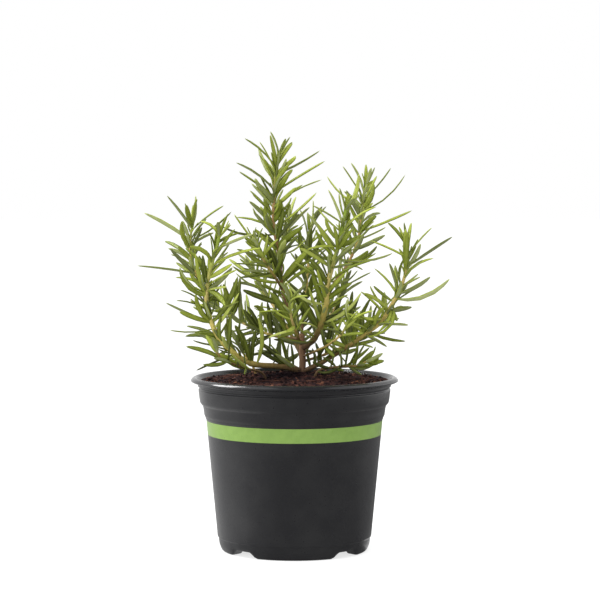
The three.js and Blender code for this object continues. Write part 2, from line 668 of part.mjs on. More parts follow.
const plant = new THREE.Group();
plant.add(toMesh('pot', makePot(), 0x303032, 0.45));
plant.add(toMesh('soil', makeSoil(stems), 0x3b2822, 0.95));
plant.add(toMesh('trunk', stemSolid(TRUNK, 0), 0x6b5645, 0.85));
for (const shoot of SHOOTS) plant.add(toMesh(shoot.name, makeShoot(shoot), 0x5c7d2e, 0.6));

export default plant;
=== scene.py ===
# A potted rosemary: a moulded nursery pot, potting mix, a woody trunk and leafy shoots.
# Metres, +Z up. The pot stands on the floor at the origin and is seen from -Y.
import math

import bpy
import numpy as np
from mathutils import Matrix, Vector, noise


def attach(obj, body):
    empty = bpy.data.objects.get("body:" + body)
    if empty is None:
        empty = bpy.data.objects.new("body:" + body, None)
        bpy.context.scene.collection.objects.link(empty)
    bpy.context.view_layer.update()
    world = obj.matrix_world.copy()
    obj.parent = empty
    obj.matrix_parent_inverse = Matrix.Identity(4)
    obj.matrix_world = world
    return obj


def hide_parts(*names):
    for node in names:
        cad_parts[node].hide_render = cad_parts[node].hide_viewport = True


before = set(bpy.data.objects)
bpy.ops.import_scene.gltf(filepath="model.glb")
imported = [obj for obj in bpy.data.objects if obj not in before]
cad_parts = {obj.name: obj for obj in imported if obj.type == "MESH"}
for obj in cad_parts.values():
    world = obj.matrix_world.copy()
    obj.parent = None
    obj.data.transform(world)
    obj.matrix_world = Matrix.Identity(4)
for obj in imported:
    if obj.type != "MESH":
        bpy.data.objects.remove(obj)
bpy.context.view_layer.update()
bpy.ops.object.select_all(action="DESELECT")

# ---------------------------------------------------------------- camera, floor and lights
# A small product studio: one long lens a little above the lip of the pot, a white sweep with
# no visible edge, and soft boxes at the left and overhead. Cards in several greys stand round
# it and lie under the sweep, and only the gloss of the pot and the leaves sees them.
CAMERA_PLACE = (0.0032, -1.360, 0.228)
CAMERA_DOWN = math.radians(3.5)
CAMERA_LENS, CAMERA_SENSOR = 141.66, 36  # millimetres
FLOOR_SIZE, FLOOR_GREY, FLOOR_GLOW = 14, 0.3, 0.73
SKY_LIGHT = 1.0
WHITE = (1, 1, 1, 1)
PLANT_MIDDLE = (0, 0, 0.13)
UPRIGHT = math.pi / 2

bpy.ops.object.camera_add(location=CAMERA_PLACE, rotation=(UPRIGHT - CAMERA_DOWN, 0, 0))
camera = bpy.context.object
camera.name = "studio_camera"
camera.data.lens = CAMERA_LENS
camera.data.sensor_width = CAMERA_SENSOR
bpy.context.scene.camera = camera
bpy.context.scene.view_settings.view_transform = "Standard"


def grey_of(value):
    return (value, value, value, 1)


def srgb(red, green, blue):
    """A colour as a screen shows it, 0 to 255, in the linear numbers that shaders use."""
    shares = [value / 255 for value in (red, green, blue)]
    bent = [s / 12.92 if s <= 0.04045 else ((s + 0.055) / 1.055) ** 2.4 for s in shares]
    return (*bent, 1)


def new_material(name, roughness, specular=0.5):
    material = bpy.data.materials.new(name)
    material.use_nodes = True
    shader = material.node_tree.nodes["Principled BSDF"]
    shader.inputs["Roughness"].default_value = roughness
    shader.inputs["Specular IOR Level"].default_value = specular
    return material, material.node_tree, shader


def soft_light(name, place, size, power, mirrored):
    """A soft box aimed at the plant. Glossy surfaces mirror it or not."""
    bpy.ops.object.light_add(type="AREA", location=place)
    light = bpy.context.object
    light.name = name
    light.data.shape = "RECTANGLE"
    light.data.size, light.data.size_y = size
    light.data.energy = power
    light.visible_glossy = mirrored
    way = Vector(PLANT_MIDDLE) - Vector(place)
    light.rotation_euler = way.to_track_quat("-Z", "Y").to_euler()


def card(name, place, turn, size, grey):
    """A card that shows in reflections and nowhere else."""
    bpy.ops.mesh.primitive_plane_add(location=place, rotation=turn)
    sheet = bpy.context.object
    sheet.name = name
    sheet.dimensions = (*size, 0)
    bpy.ops.object.transform_apply(location=True, rotation=True, scale=True)
    sheet.visible_camera = sheet.visible_diffuse = sheet.visible_shadow = False
    paint, _, shader = new_material(name, 1, 0)
    shader.inputs["Base Color"].default_value = grey_of(grey)
    sheet.data.materials.append(paint)


soft_light("key_softbox", (-0.64, 0.16, 0.78), (0.4, 0.42), 7.5, True)
soft_light("left_softbox", (-0.9, -0.9, 0.55), (0.5, 0.7), 7.6, False)
soft_light("top_softbox", (0.1, -0.15, 1.2), (0.8, 0.8), 12, False)

BLACK, DARK, GREY, PALE = 0.005, 0.145, 0.25, 0.76
FLAT, TO_FRONT, TO_SIDE = (0, 0, 0), (UPRIGHT, 0, 0), (UPRIGHT, 0, UPRIGHT)
card("front_card", (0.4, -2.2, 1.3), TO_FRONT, (3.6, 2.6), DARK)
card("front_floor_card", (0.4, -1.1, -0.0022), FLAT, (3.6, 2.2), DARK)
card("ceiling_card", (0.85, -0.1, 2.0), FLAT, (2.7, 4.2), BLACK)
card("right_card", (0.9, 1.0, 1.3), TO_SIDE, (3.8, 2.6), PALE)
card("right_near_card", (0.24, 1.45, -0.002), FLAT, (0.36, 2.9), GREY)
card("right_far_card", (0.66, 1.45, -0.002), FLAT, (0.48, 2.9), PALE)
card("left_near_card", (-0.2, 0.22, -0.001), FLAT, (0.28, 0.56), PALE)

# Cards that lie like the blades of a fan from the pot to the front left, each on the last:
# (degrees from straight forward, grey).
FAN_CARDS = [(24, 0.24), (42, 0.38), (60, 0.58)]
FAN_WIDTH, FAN_REACH = 0.5, 1.6
FAN_LOW, FAN_STEP = -0.0018, 0.0001
for i, (angle, grey) in enumerate(FAN_CARDS):
    turn = math.radians(angle)
    middle = (-(FAN_WIDTH * math.cos(turn) + FAN_REACH * math.sin(turn)) / 2,
              (FAN_WIDTH * math.sin(turn) - FAN_REACH * math.cos(turn)) / 2,
              i * FAN_STEP + FAN_LOW)
    card("left_fan_card_%d" % i, middle, (0, 0, -turn), (FAN_WIDTH, FAN_REACH), grey)

world = bpy.data.worlds.new("white_studio")
bpy.context.scene.world = world
world.use_nodes = True
sky = world.node_tree.nodes["Background"]
sky.inputs["Color"].default_value = WHITE
sky.inputs["Strength"].default_value = SKY_LIGHT

bpy.ops.mesh.primitive_plane_add(size=FLOOR_SIZE)
floor = bpy.context.object
floor.name = "studio_floor"
floor_paint, _, shader = new_material("white_sweep", 0.9)
shader.inputs["Base Color"].default_value = grey_of(FLOOR_GREY)
shader.inputs["Emission Color"].default_value = WHITE
shader.inputs["Emission Strength"].default_value = FLOOR_GLOW
floor.data.materials.append(floor_paint)
floor.visible_glossy = False

# ---------------------------------------------------------------- pot
# A nursery pot of black polypropylene, injection moulded in one piece with a thin wall, a
# stepped collar, a rolled lip and four feet. A plain green band is printed round it.
MM = 0.001  # sizes of the pieces are in millimetres, from here to the last leaf
POT_SIDES = 144
RIM = 60
HEIGHT = 100.6
WALL = 1.2
RECESS = 35
NOTCH_WIDE, NOTCH_NARROW, NOTCH_HEIGHT = 10.5, 5.0, 3.3
FOOT_TOP = 7.4  # the wall above it is round
SLOT_FROM, SLOT_TO, SLOT_HALF_ANGLE = 36.6, 39.6, math.radians(5)

# Corners of the closed wall section, from the middle of the underside, out and up to the
# lip, and down the inside: (radius, height, how far from the corner its rounding starts).
POT_SECTION = [
    (RECESS - 0.8, 4.2, 0.5), (RECESS, 0, 0.3), (SLOT_FROM, 0, 0), (SLOT_TO, 0, 0),
    (41.9, 0, 1.6), (43.5, 3.6, 1.6), (44.0, 7.6, 0.2), (44.6, 8.4, 0.3),
    (51.0, 76.1, 0.3), (51.3, 76.5, 0.2), (51.5, 77.4, 0.3), (52.2, 78.8, 0.6),
    (52.6, 82.2, 0.8), (53.1, 84.3, 0.7), (53.8, 84.9, 0.3), (54.6, 86.0, 0.6),
    (55.0, 88.6, 0.8), (55.5, 93.3, 0.3), (54.9, 94.0, 0.25), (54.9, 94.5, 0.25),
    (55.8, 95.2, 0.25), (55.9, 96.6, 0.3), (56.7, 97.3, 0.4), (58.6, 97.6, 0.5),
    (59.8, 98.1, 0.4), (RIM, 98.7, 0.25), (59.1, 99.9, 0.5), (57.6, HEIGHT, 0.5),
    (56.4, 100.0, 0.6), (54.9, 97.6, 0.8), (54.0, 94.6, 0.6), (53.6, 91, 0.5),
    (52.8, 86.4, 0.5), (51.7, 84, 0.4), (51.2, 80.2, 0.4), (50, 78, 0.4),
    (43.3, 9.6, 0.4), (42.2, 3.9, 0.6), (40.6, WALL, 0.6), (SLOT_TO, WALL, 0),
    (SLOT_FROM, WALL, 0), (RECESS + WALL, WALL, 0.2), (RECESS - 0.4, 5.4, 0.3),
]
ROUNDING_STEPS = 4
LONGEST_ROUNDING = 0.48  # of the way to the next corner, so that no two roundings meet


def rounded(section):
    """The points of a section whose corners are short curves."""
    points = []
    corners = [(np.array(corner[:2], float), corner[2]) for corner in section]
    for i, (corner, start) in enumerate(corners):
        if start == 0 or i in (0, len(corners) - 1):
            points.append(corner)
            continue
        before, after = corners[i - 1][0] - corner, corners[i + 1][0] - corner
        near = corner + before * min(LONGEST_ROUNDING, start / np.linalg.norm(before))
        far = corner + after * min(LONGEST_ROUNDING, start / np.linalg.norm(after))
        for k in range(ROUNDING_STEPS + 1):
            t = k / ROUNDING_STEPS
            points.append((1 - t) ** 2 * near + 2 * t * (1 - t) * corner + t * t * far)
    return points


def turned(name, outline, sides):
    """A closed form round the Z axis: a disc, extruded ring by ring and closed at the end."""
    radius, height = outline[0]
    bpy.ops.object.select_all(action="DESELECT")
    bpy.ops.mesh.primitive_circle_add(
        vertices=sides, radius=radius * MM, fill_type="TRIFAN", location=(0, 0, height * MM)
    )
    piece = bpy.context.object
    piece.name = name
    bpy.ops.object.transform_apply(location=True)
    bpy.ops.object.mode_set(mode="EDIT")
    bpy.ops.mesh.select_mode(type="EDGE")
    bpy.ops.mesh.select_all(action="DESELECT")
    bpy.ops.mesh.select_non_manifold()
    for next_radius, next_height in outline[1:]:
        rise = (next_height - height) * MM
        spread = next_radius / radius
        bpy.ops.mesh.extrude_region_move(TRANSFORM_OT_translate={"value": (0, 0, rise)})
        bpy.ops.transform.resize(value=(spread, spread, 1), center_override=(0, 0, 0))
        radius, height = next_radius, next_height
    bpy.ops.mesh.extrude_region_move()
    bpy.ops.mesh.merge(type="CENTER")
    bpy.ops.mesh.select_all(action="SELECT")
    bpy.ops.mesh.normals_make_consistent(inside=False)
    bpy.ops.mesh.select_all(action="DESELECT")
    bpy.ops.object.mode_set(mode="OBJECT")
    bpy.ops.object.shade_smooth()
    return piece


def in_order(piece):
    """The same piece with its faces in one order, which the operators change from run to run."""
    mesh = piece.data
    corners = [tuple(vertex.co) for vertex in mesh.vertices]
    faces = sorted((tuple(face.vertices), face.use_smooth) for face in mesh.polygons)
    mesh.clear_geometry()
    mesh.from_pydata(corners, [], [face for face, _ in faces])
    mesh.polygons.foreach_set("use_smooth", [smooth for _, smooth in faces])


def past_notch(x, y):
    """The angle from a point to the middle of the nearest gap between two feet."""
    quarter = math.pi / 2
    return (math.atan2(y, x) + 4 * quarter) % quarter - quarter / 2


def raise_notches(mesh):
    """The wall's foot steps up over each gap between two feet."""
    for vertex in mesh.vertices:
        x, y, z = vertex.co / MM
        radius = math.hypot(x, y)
        if z > FOOT_TOP or radius < RECESS - 0.1:
            continue
        across = abs(radius * math.sin(past_notch(x, y)))
        share = min(1, max(0, (NOTCH_WIDE - across) / (NOTCH_WIDE - NOTCH_NARROW)))
        lift = NOTCH_HEIGHT * share * share * (3 - 2 * share)
        vertex.co.z = (lift + z * (1 - lift / FOOT_TOP)) * MM


def cut_slot(piece, quarter_turn):
    """One drain slot in the roof of a gap: faces out above and below, then edges bridged."""
    middle = (quarter_turn + 0.5) * math.pi / 2
    bpy.context.tool_settings.mesh_select_mode = (False, False, True)
    for face in piece.data.polygons:
        x, y, z = face.center / MM
        off = (math.atan2(y, x) - middle + math.pi) % (2 * math.pi) - math.pi
        inside = SLOT_FROM < math.hypot(x, y) < SLOT_TO and abs(off) < SLOT_HALF_ANGLE
        face.select = inside and z < FOOT_TOP
    bpy.ops.object.mode_set(mode="EDIT")
    bpy.ops.mesh.delete(type="FACE")
    bpy.ops.mesh.select_mode(type="EDGE")
    bpy.ops.mesh.select_non_manifold()
    bpy.ops.mesh.bridge_edge_loops()
    bpy.ops.mesh.select_all(action="DESELECT")
    bpy.ops.object.mode_set(mode="OBJECT")


def feed(tree, value, socket):
    """A socket gets a link from another node, or a fixed number or colour."""
    if isinstance(value, bpy.types.NodeSocket):
        tree.links.new(value, socket)
    else:
        socket.default_value = value


def object_place(tree):
    return tree.nodes.new("ShaderNodeTexCoord").outputs["Object"]


def arithmetic(tree, operation, first, second=0):
    """What a Math node makes of two links or numbers."""
    node = tree.nodes.new("ShaderNodeMath")
    node.operation = operation
    feed(tree, first, node.inputs[0])
    feed(tree, second, node.inputs[1])
    return node.outputs[0]


def vector_arithmetic(tree, operation, first, second, result):
    """What a Vector Math node makes of two links or places, as a "Vector" or a "Value"."""
    node = tree.nodes.new("ShaderNodeVectorMath")
    node.operation = operation
    feed(tree, first, node.inputs[0])
    feed(tree, second, node.inputs[1])
    return node.outputs[result]


def spread_over(tree, value, low, high, at_low=0, at_high=1, steps="LINEAR"):
    """A value from low to high, as a share of another range, and held at its ends."""
    node = tree.nodes.new("ShaderNodeMapRange")
    node.interpolation_type = steps
    for name, number in (("Value", value), ("From Min", low), ("From Max", high),
                         ("To Min", at_low), ("To Max", at_high)):
        feed(tree, number, node.inputs[name])
    return node.outputs["Result"]


def noise_of(tree, place, scale, detail=3, stretch=(1, 1, 1)):
    """A noise pattern from 0 to 1, as many lumps to a metre as scale says."""
    mapping = tree.nodes.new("ShaderNodeMapping")
    mapping.inputs["Scale"].default_value = stretch
    tree.links.new(place, mapping.inputs["Vector"])
    texture = tree.nodes.new("ShaderNodeTexNoise")
    texture.inputs["Scale"].default_value = scale
    texture.inputs["Detail"].default_value = detail
    tree.links.new(mapping.outputs["Vector"], texture.inputs["Vector"])
    return texture.outputs["Fac"]


def ramp(tree, value, stops):
    """Colours or greys along a value: (value, colour) at each stop."""
    node = tree.nodes.new("ShaderNodeValToRGB")
    elements = node.color_ramp.elements
    while len(elements) < len(stops):
        elements.new(0.5)
    for element, (position, colour) in zip(elements, stops):
        element.position = position
        element.color = colour if isinstance(colour, tuple) else grey_of(colour)
    tree.links.new(value, node.inputs["Fac"])
    return node.outputs["Color"]


def blended(tree, share, first, second, mode="MIX"):
    """One colour over another. Each is a link or a fixed colour."""
    node = tree.nodes.new("ShaderNodeMix")
    node.data_type = "RGBA"
    node.blend_type = mode
    for name, value in (("Factor", share), ("A", first), ("B", second)):
        feed(tree, value, node.inputs[name])
    return node.outputs["Result"]


def relief(tree, shader, height, depth):
    """Small relief that only the light sees. Depth is in millimetres."""
    bump = tree.nodes.new("ShaderNodeBump")
    bump.inputs["Distance"].default_value = depth * MM
    tree.links.new(height, bump.inputs["Height"])
    tree.links.new(bump.outputs["Normal"], shader.inputs["Normal"])


CHARCOAL, CHARCOAL_WORN = srgb(29, 29, 31), srgb(36, 36, 37)
BAND_GREEN, BAND_GREEN_THIN = srgb(118, 148, 70), srgb(111, 141, 65)
BAND_LOW, BAND_HIGH, BAND_EDGE = 67.6, 75.6, 0.2
PRINTED_OUTSIDE = 49.7  # the radius beyond which a surface at the band's height is printed
LIP_FROM, LIP_TO, LIP_POLISH = 97, 98, 0.5  # the lip is twice as smooth as the wall


def pot_plastic():
    """Satin black plastic with cloudy wear, and the print of the band on its outside."""
    material, tree, shader = new_material("satin_polypropylene", 0.4)
    place = object_place(tree)
    wear = ramp(tree, noise_of(tree, place, 60, 5), [(0.42, 0.0), (0.75, 1.0)])
    plastic = blended(tree, wear, CHARCOAL, CHARCOAL_WORN)
    thin = ramp(tree, noise_of(tree, place, 260, 4), [(0.35, 0.0), (0.7, 1.0)])
    band_print = blended(tree, thin, BAND_GREEN, BAND_GREEN_THIN)
    split = tree.nodes.new("ShaderNodeSeparateXYZ")
    tree.links.new(place, split.inputs["Vector"])
    height = split.outputs["Z"]
    middle, half = (BAND_HIGH + BAND_LOW) / 2 * MM, (BAND_HIGH - BAND_LOW) / 2 * MM
    off_middle = arithmetic(tree, "ABSOLUTE", arithmetic(tree, "SUBTRACT", height, middle))
    band = spread_over(tree, off_middle, half + BAND_EDGE * MM, half, steps="SMOOTHSTEP")
    level = vector_arithmetic(tree, "MULTIPLY", place, (1, 1, 0), "Vector")
    radius = vector_arithmetic(tree, "LENGTH", level, (0, 0, 0), "Value")
    outside = arithmetic(tree, "GREATER_THAN", radius, PRINTED_OUTSIDE * MM)
    printed = arithmetic(tree, "MULTIPLY", band, outside)
    tree.links.new(blended(tree, printed, plastic, band_print), shader.inputs["Base Color"])
    sheen = ramp(tree, noise_of(tree, place, 900, 4), [(0.3, 0.27), (0.7, 0.35)])
    lip = spread_over(tree, height, LIP_FROM * MM, LIP_TO * MM, 1, LIP_POLISH)
    tree.links.new(arithmetic(tree, "MULTIPLY", sheen, lip), shader.inputs["Roughness"])
    relief(tree, shader, noise_of(tree, place, 700, 2), 0.01)
    return material


pot = turned("nursery_pot", rounded(POT_SECTION), POT_SIDES)
raise_notches(pot.data)
for quarter_turn in range(4):
    cut_slot(pot, quarter_turn)
in_order(pot)
pot.data.materials.append(pot_plastic())
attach(pot, "root")
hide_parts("pot")

# ---------------------------------------------------------------- potting mix
# A loose mix of peat, coir and composted bark. It fills the pot to just under the lip and
# heaps a little towards the trunk, with crumbs of bark and short fibres lying on top.
SOIL_SIDES = 120
SOIL_RINGS = 44
SOIL_EDGE = 98.3
SOIL_RADIUS = 54.4
HEAP_X, HEAP_Y, HEAP_REACH, HEAP_HEIGHT, HEAP_FALL = 4, 2, 52, 4.6, 1.3
SOIL_LUMP = 0.35
COARSE_LUMPS, COARSE_HEIGHT = 0.35, 0.8  # lumps to a millimetre, and their height
FINE_LUMPS, FINE_HEIGHT = 1.9, 0.35
LUMP_SIZES, NOISE_SLICE = (1.0, 2.0, 4), 3.7
CALM_EDGE = 2  # how far from the wall the mix is smoother
SOIL_BELOW = [
    (RECESS, 5.8), (41.4, 5.8), (42.7, 8.6), (49.6, 77.6), (50.8, 82),
    (53.4, 94.6), (54.2, 97.2),
]


def soil_top(x, y):
    """Height of the mix over its edge: a low heap with broad lumps, which are crossing waves."""
    share = min(1, math.hypot(x - HEAP_X, y - HEAP_Y) / HEAP_REACH)
    heap = HEAP_HEIGHT * (1 - share) ** HEAP_FALL
    lumps = (math.sin(x * 0.33 + 1.1) * math.cos(y * 0.29)
             + 0.7 * math.sin(x * 0.71 - y * 0.53) + 0.5 * math.cos(x * 0.23 + y * 0.97))
    return heap + SOIL_LUMP * lumps * (1 - share**4)


def crumbly(x, y):
    """The fine relief of the mix."""
    place = Vector((x, y, NOISE_SLICE))
    coarse = noise.fractal(place * COARSE_LUMPS, *LUMP_SIZES)
    fine = noise.noise(place * FINE_LUMPS)
    return COARSE_HEIGHT * coarse + FINE_HEIGHT * fine


SOIL_TONES = [(0.3, srgb(18, 12, 15)), (0.45, srgb(38, 26, 28)), (0.58, srgb(64, 42, 38)),
              (0.72, srgb(94, 58, 48))]
CRUMB_TONES = [(0.0, srgb(18, 12, 14)), (0.45, srgb(46, 31, 30)), (0.8, srgb(76, 50, 43)),
               (1.0, srgb(112, 76, 60))]
PAINTED_SHADE_X, PAINTED_SHADE_FROM, PAINTED_SHADE_TO = -8, 6, 30  # painted shade under the plant: darkest within the first distance of this point, gone at the second
PAINTED_SHADE_TINT = srgb(118, 112, 146)


def mark(tree, name):
    """A number that the mesh keeps at each corner."""
    node = tree.nodes.new("ShaderNodeAttribute")
    node.attribute_name = name
    return node.outputs["Fac"]


def potting_mix():
    """Brown mix, with loose crumbs that each have a tone of their own. Painted shade darkens it
    and tints it violet round the foot of the trunk, under the plant."""
    material, tree, shader = new_material("peat_and_bark", 0.95, 0.1)
    place, tone = object_place(tree), mark(tree, "tone")
    patches = ramp(tree, noise_of(tree, place, 260, 4), SOIL_TONES)
    loose = arithmetic(tree, "GREATER_THAN", tone, 0)  # only crumbs and fibres have a tone
    colour = blended(tree, loose, patches, ramp(tree, tone, CRUMB_TONES))
    # Painted shade under the plant: darkest and violet round the foot of the trunk, fading with
    # distance.
    shadiest = (PAINTED_SHADE_X * MM, 0, SOIL_EDGE * MM)
    away = vector_arithmetic(tree, "DISTANCE", place, shadiest, "Value")
    out_of_shade = spread_over(tree, away, PAINTED_SHADE_FROM * MM, PAINTED_SHADE_TO * MM)
    painted_shade = ramp(tree, out_of_shade, [(0.0, PAINTED_SHADE_TINT), (1.0, 1.0)])
    tree.links.new(blended(tree, 1.0, colour, painted_shade, "MULTIPLY"), shader.inputs["Base Color"])
    relief(tree, shader, noise_of(tree, place, 1500, 5), 0.5)
    return material


soil_top_outline = [(SOIL_RADIUS * (SOIL_RINGS - i) / SOIL_RINGS, SOIL_EDGE)
                    for i in range(SOIL_RINGS)]
mix = turned("potting_mix", SOIL_BELOW + soil_top_outline, SOIL_SIDES)
for vertex in mix.data.vertices:
    x, y, z = vertex.co / MM
    if z > SOIL_EDGE - 0.01:
        calm = min(1, (SOIL_RADIUS - math.hypot(x, y)) / CALM_EDGE)
        vertex.co.z += (soil_top(x, y) + calm * crumbly(x, y)) * MM
in_order(mix)
soil_paint = potting_mix()
mix.data.materials.append(soil_paint)
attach(mix, "root")
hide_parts("soil")

CRUMBS, FIBRES = 1500, 170
CRUMB_SIZE, CRUMB_MORE = 0.35, 1.15  # radius of the smallest, and what the largest has more
MOSTLY_SMALL, MOSTLY_DARK = 2.2, 1.5  # how rare large crumbs and pale crumbs are
CRUMB_UNEVEN, CRUMB_WIDTH, CRUMB_HEIGHT = (0.75, 1.25), (0.6, 1), (0.4, 0.8)
DARKEST_CRUMB, DARKEST_FIBRE = 0.02, 0.25
FIBRE_LENGTH, FIBRE_THICKNESS = (3, 9), (0.16, 0.4)
FIBRE_BOW, FIBRE_LEAN, FIBRE_LIFT = 0.35, 0.25, 0.3
CRUMBS_OFF_WALL, FIBRES_OFF_WALL = 1.5, 7
CRUMB_SEED = 11


def model_of(piece):
    """The corners and faces of a modelled piece, which is then taken away."""
    corners = np.array([vertex.co for vertex in piece.data.vertices])
    faces = sorted(tuple(face.vertices) for face in piece.data.polygons)
    bpy.data.objects.remove(piece)
    return corners, faces


def keep_marks(mesh, marks):
    for name, values in marks.items():
        attribute = mesh.attributes.new(name, "FLOAT", "POINT")
        attribute.data.foreach_set("value", values.astype(np.float32))


def copies(name, faces, shapes, marks):
    """One mesh of many copies of a model, each with its own corners and marks."""
    count = len(shapes[0])
    mesh = bpy.data.meshes.new(name)
    all_faces = [[corner + i * count for corner in face]
                 for i in range(len(shapes)) for face in faces]
    mesh.from_pydata((np.concatenate(shapes) * MM).tolist(), [], all_faces)
    keep_marks(mesh, {key: np.concatenate(values) for key, values in marks.items()})
    piece = bpy.data.objects.new(name, mesh)
    bpy.context.collection.objects.link(piece)
    return piece


def turn_at_random(random):
    """A random turn in space, as a 3 by 3 matrix."""
    axes, _ = np.linalg.qr(random.normal(size=(3, 3)))
    return axes * np.sign(np.linalg.det(axes))


def on_the_mix(random, reach):
    """A random spot on top of the mix."""
    radius, angle = reach * math.sqrt(random.uniform()), random.uniform(0, 2 * math.pi)
    x, y = radius * math.cos(angle), radius * math.sin(angle)
    return np.array([x, y, SOIL_EDGE + soil_top(x, y) + crumbly(x, y)])


bpy.ops.mesh.primitive_ico_sphere_add(subdivisions=1, radius=1)
crumb, crumb_faces = model_of(bpy.context.object)
random = np.random.default_rng(CRUMB_SEED)
shapes, tones = [], []
for _ in range(CRUMBS):
    size = CRUMB_SIZE + CRUMB_MORE * random.uniform() ** MOSTLY_SMALL
    lumpy = crumb * random.uniform(*CRUMB_UNEVEN, (len(crumb), 1))
    flat = lumpy * [1, random.uniform(*CRUMB_WIDTH), random.uniform(*CRUMB_HEIGHT)]
    place = on_the_mix(random, SOIL_RADIUS - CRUMBS_OFF_WALL)
    shapes.append(flat @ turn_at_random(random) * size + place)
    tone = DARKEST_CRUMB + (1 - DARKEST_CRUMB) * random.uniform() ** MOSTLY_DARK
    tones.append(np.full(len(crumb), tone))
crumbs = copies("mix_crumbs", crumb_faces, shapes, {"tone": tones})
crumbs.data.materials.append(soil_paint)
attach(crumbs, "root")

bpy.ops.mesh.primitive_cylinder_add(vertices=4, radius=0.5, depth=1, location=(0, 0, 0))
strand = bpy.context.object
bpy.ops.object.mode_set(mode="EDIT")
bpy.ops.mesh.select_all(action="SELECT")
for cut in (-0.25, 0, 0.25):
    bpy.ops.mesh.bisect(plane_co=(0, 0, cut), plane_no=(0, 0, 1))
    bpy.ops.mesh.select_all(action="SELECT")
bpy.ops.object.mode_set(mode="OBJECT")
strand, strand_faces = model_of(strand)
shapes, tones = [], []
for _ in range(FIBRES):
    length, thick = random.uniform(*FIBRE_LENGTH), random.uniform(*FIBRE_THICKNESS)
    heading = random.uniform(0, 2 * math.pi)
    bow = random.uniform(-FIBRE_BOW, FIBRE_BOW)
    reach = strand[:, 2] * length
    side = strand[:, 0] * thick + bow * length * (strand[:, 2] ** 2 * 4 - 0.5) * 0.5
    lean = random.uniform(-FIBRE_LEAN, FIBRE_LEAN)
    place = on_the_mix(random, SOIL_RADIUS - FIBRES_OFF_WALL) + [0, 0, FIBRE_LIFT]
    shape = np.stack([reach * math.cos(heading) - side * math.sin(heading),
                      reach * math.sin(heading) + side * math.cos(heading),
                      strand[:, 1] * thick + reach * lean], axis=1)
    shapes.append(shape + place)
    tones.append(np.full(len(strand), random.uniform(DARKEST_FIBRE, 1)))
fibres = copies("mix_fibres", strand_faces, shapes, {"tone": tones})
fibres.data.materials.append(soil_paint)
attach(fibres, "root")

# ---------------------------------------------------------------- trunk and stems
# One woody trunk stands in the mix. Young stems grow from it and from each other, brown
# and barky near the trunk, then pinkish and at last yellow-green towards their tips.
TRUNK = dict(name="trunk", thick=2.3, thin=1.7,
             route=[(3.6, 1.8, 88), (4.2, 2, 97), (4.6, 2.2, 106), (4.4, 2.4, 115), (4, 3, 125)])
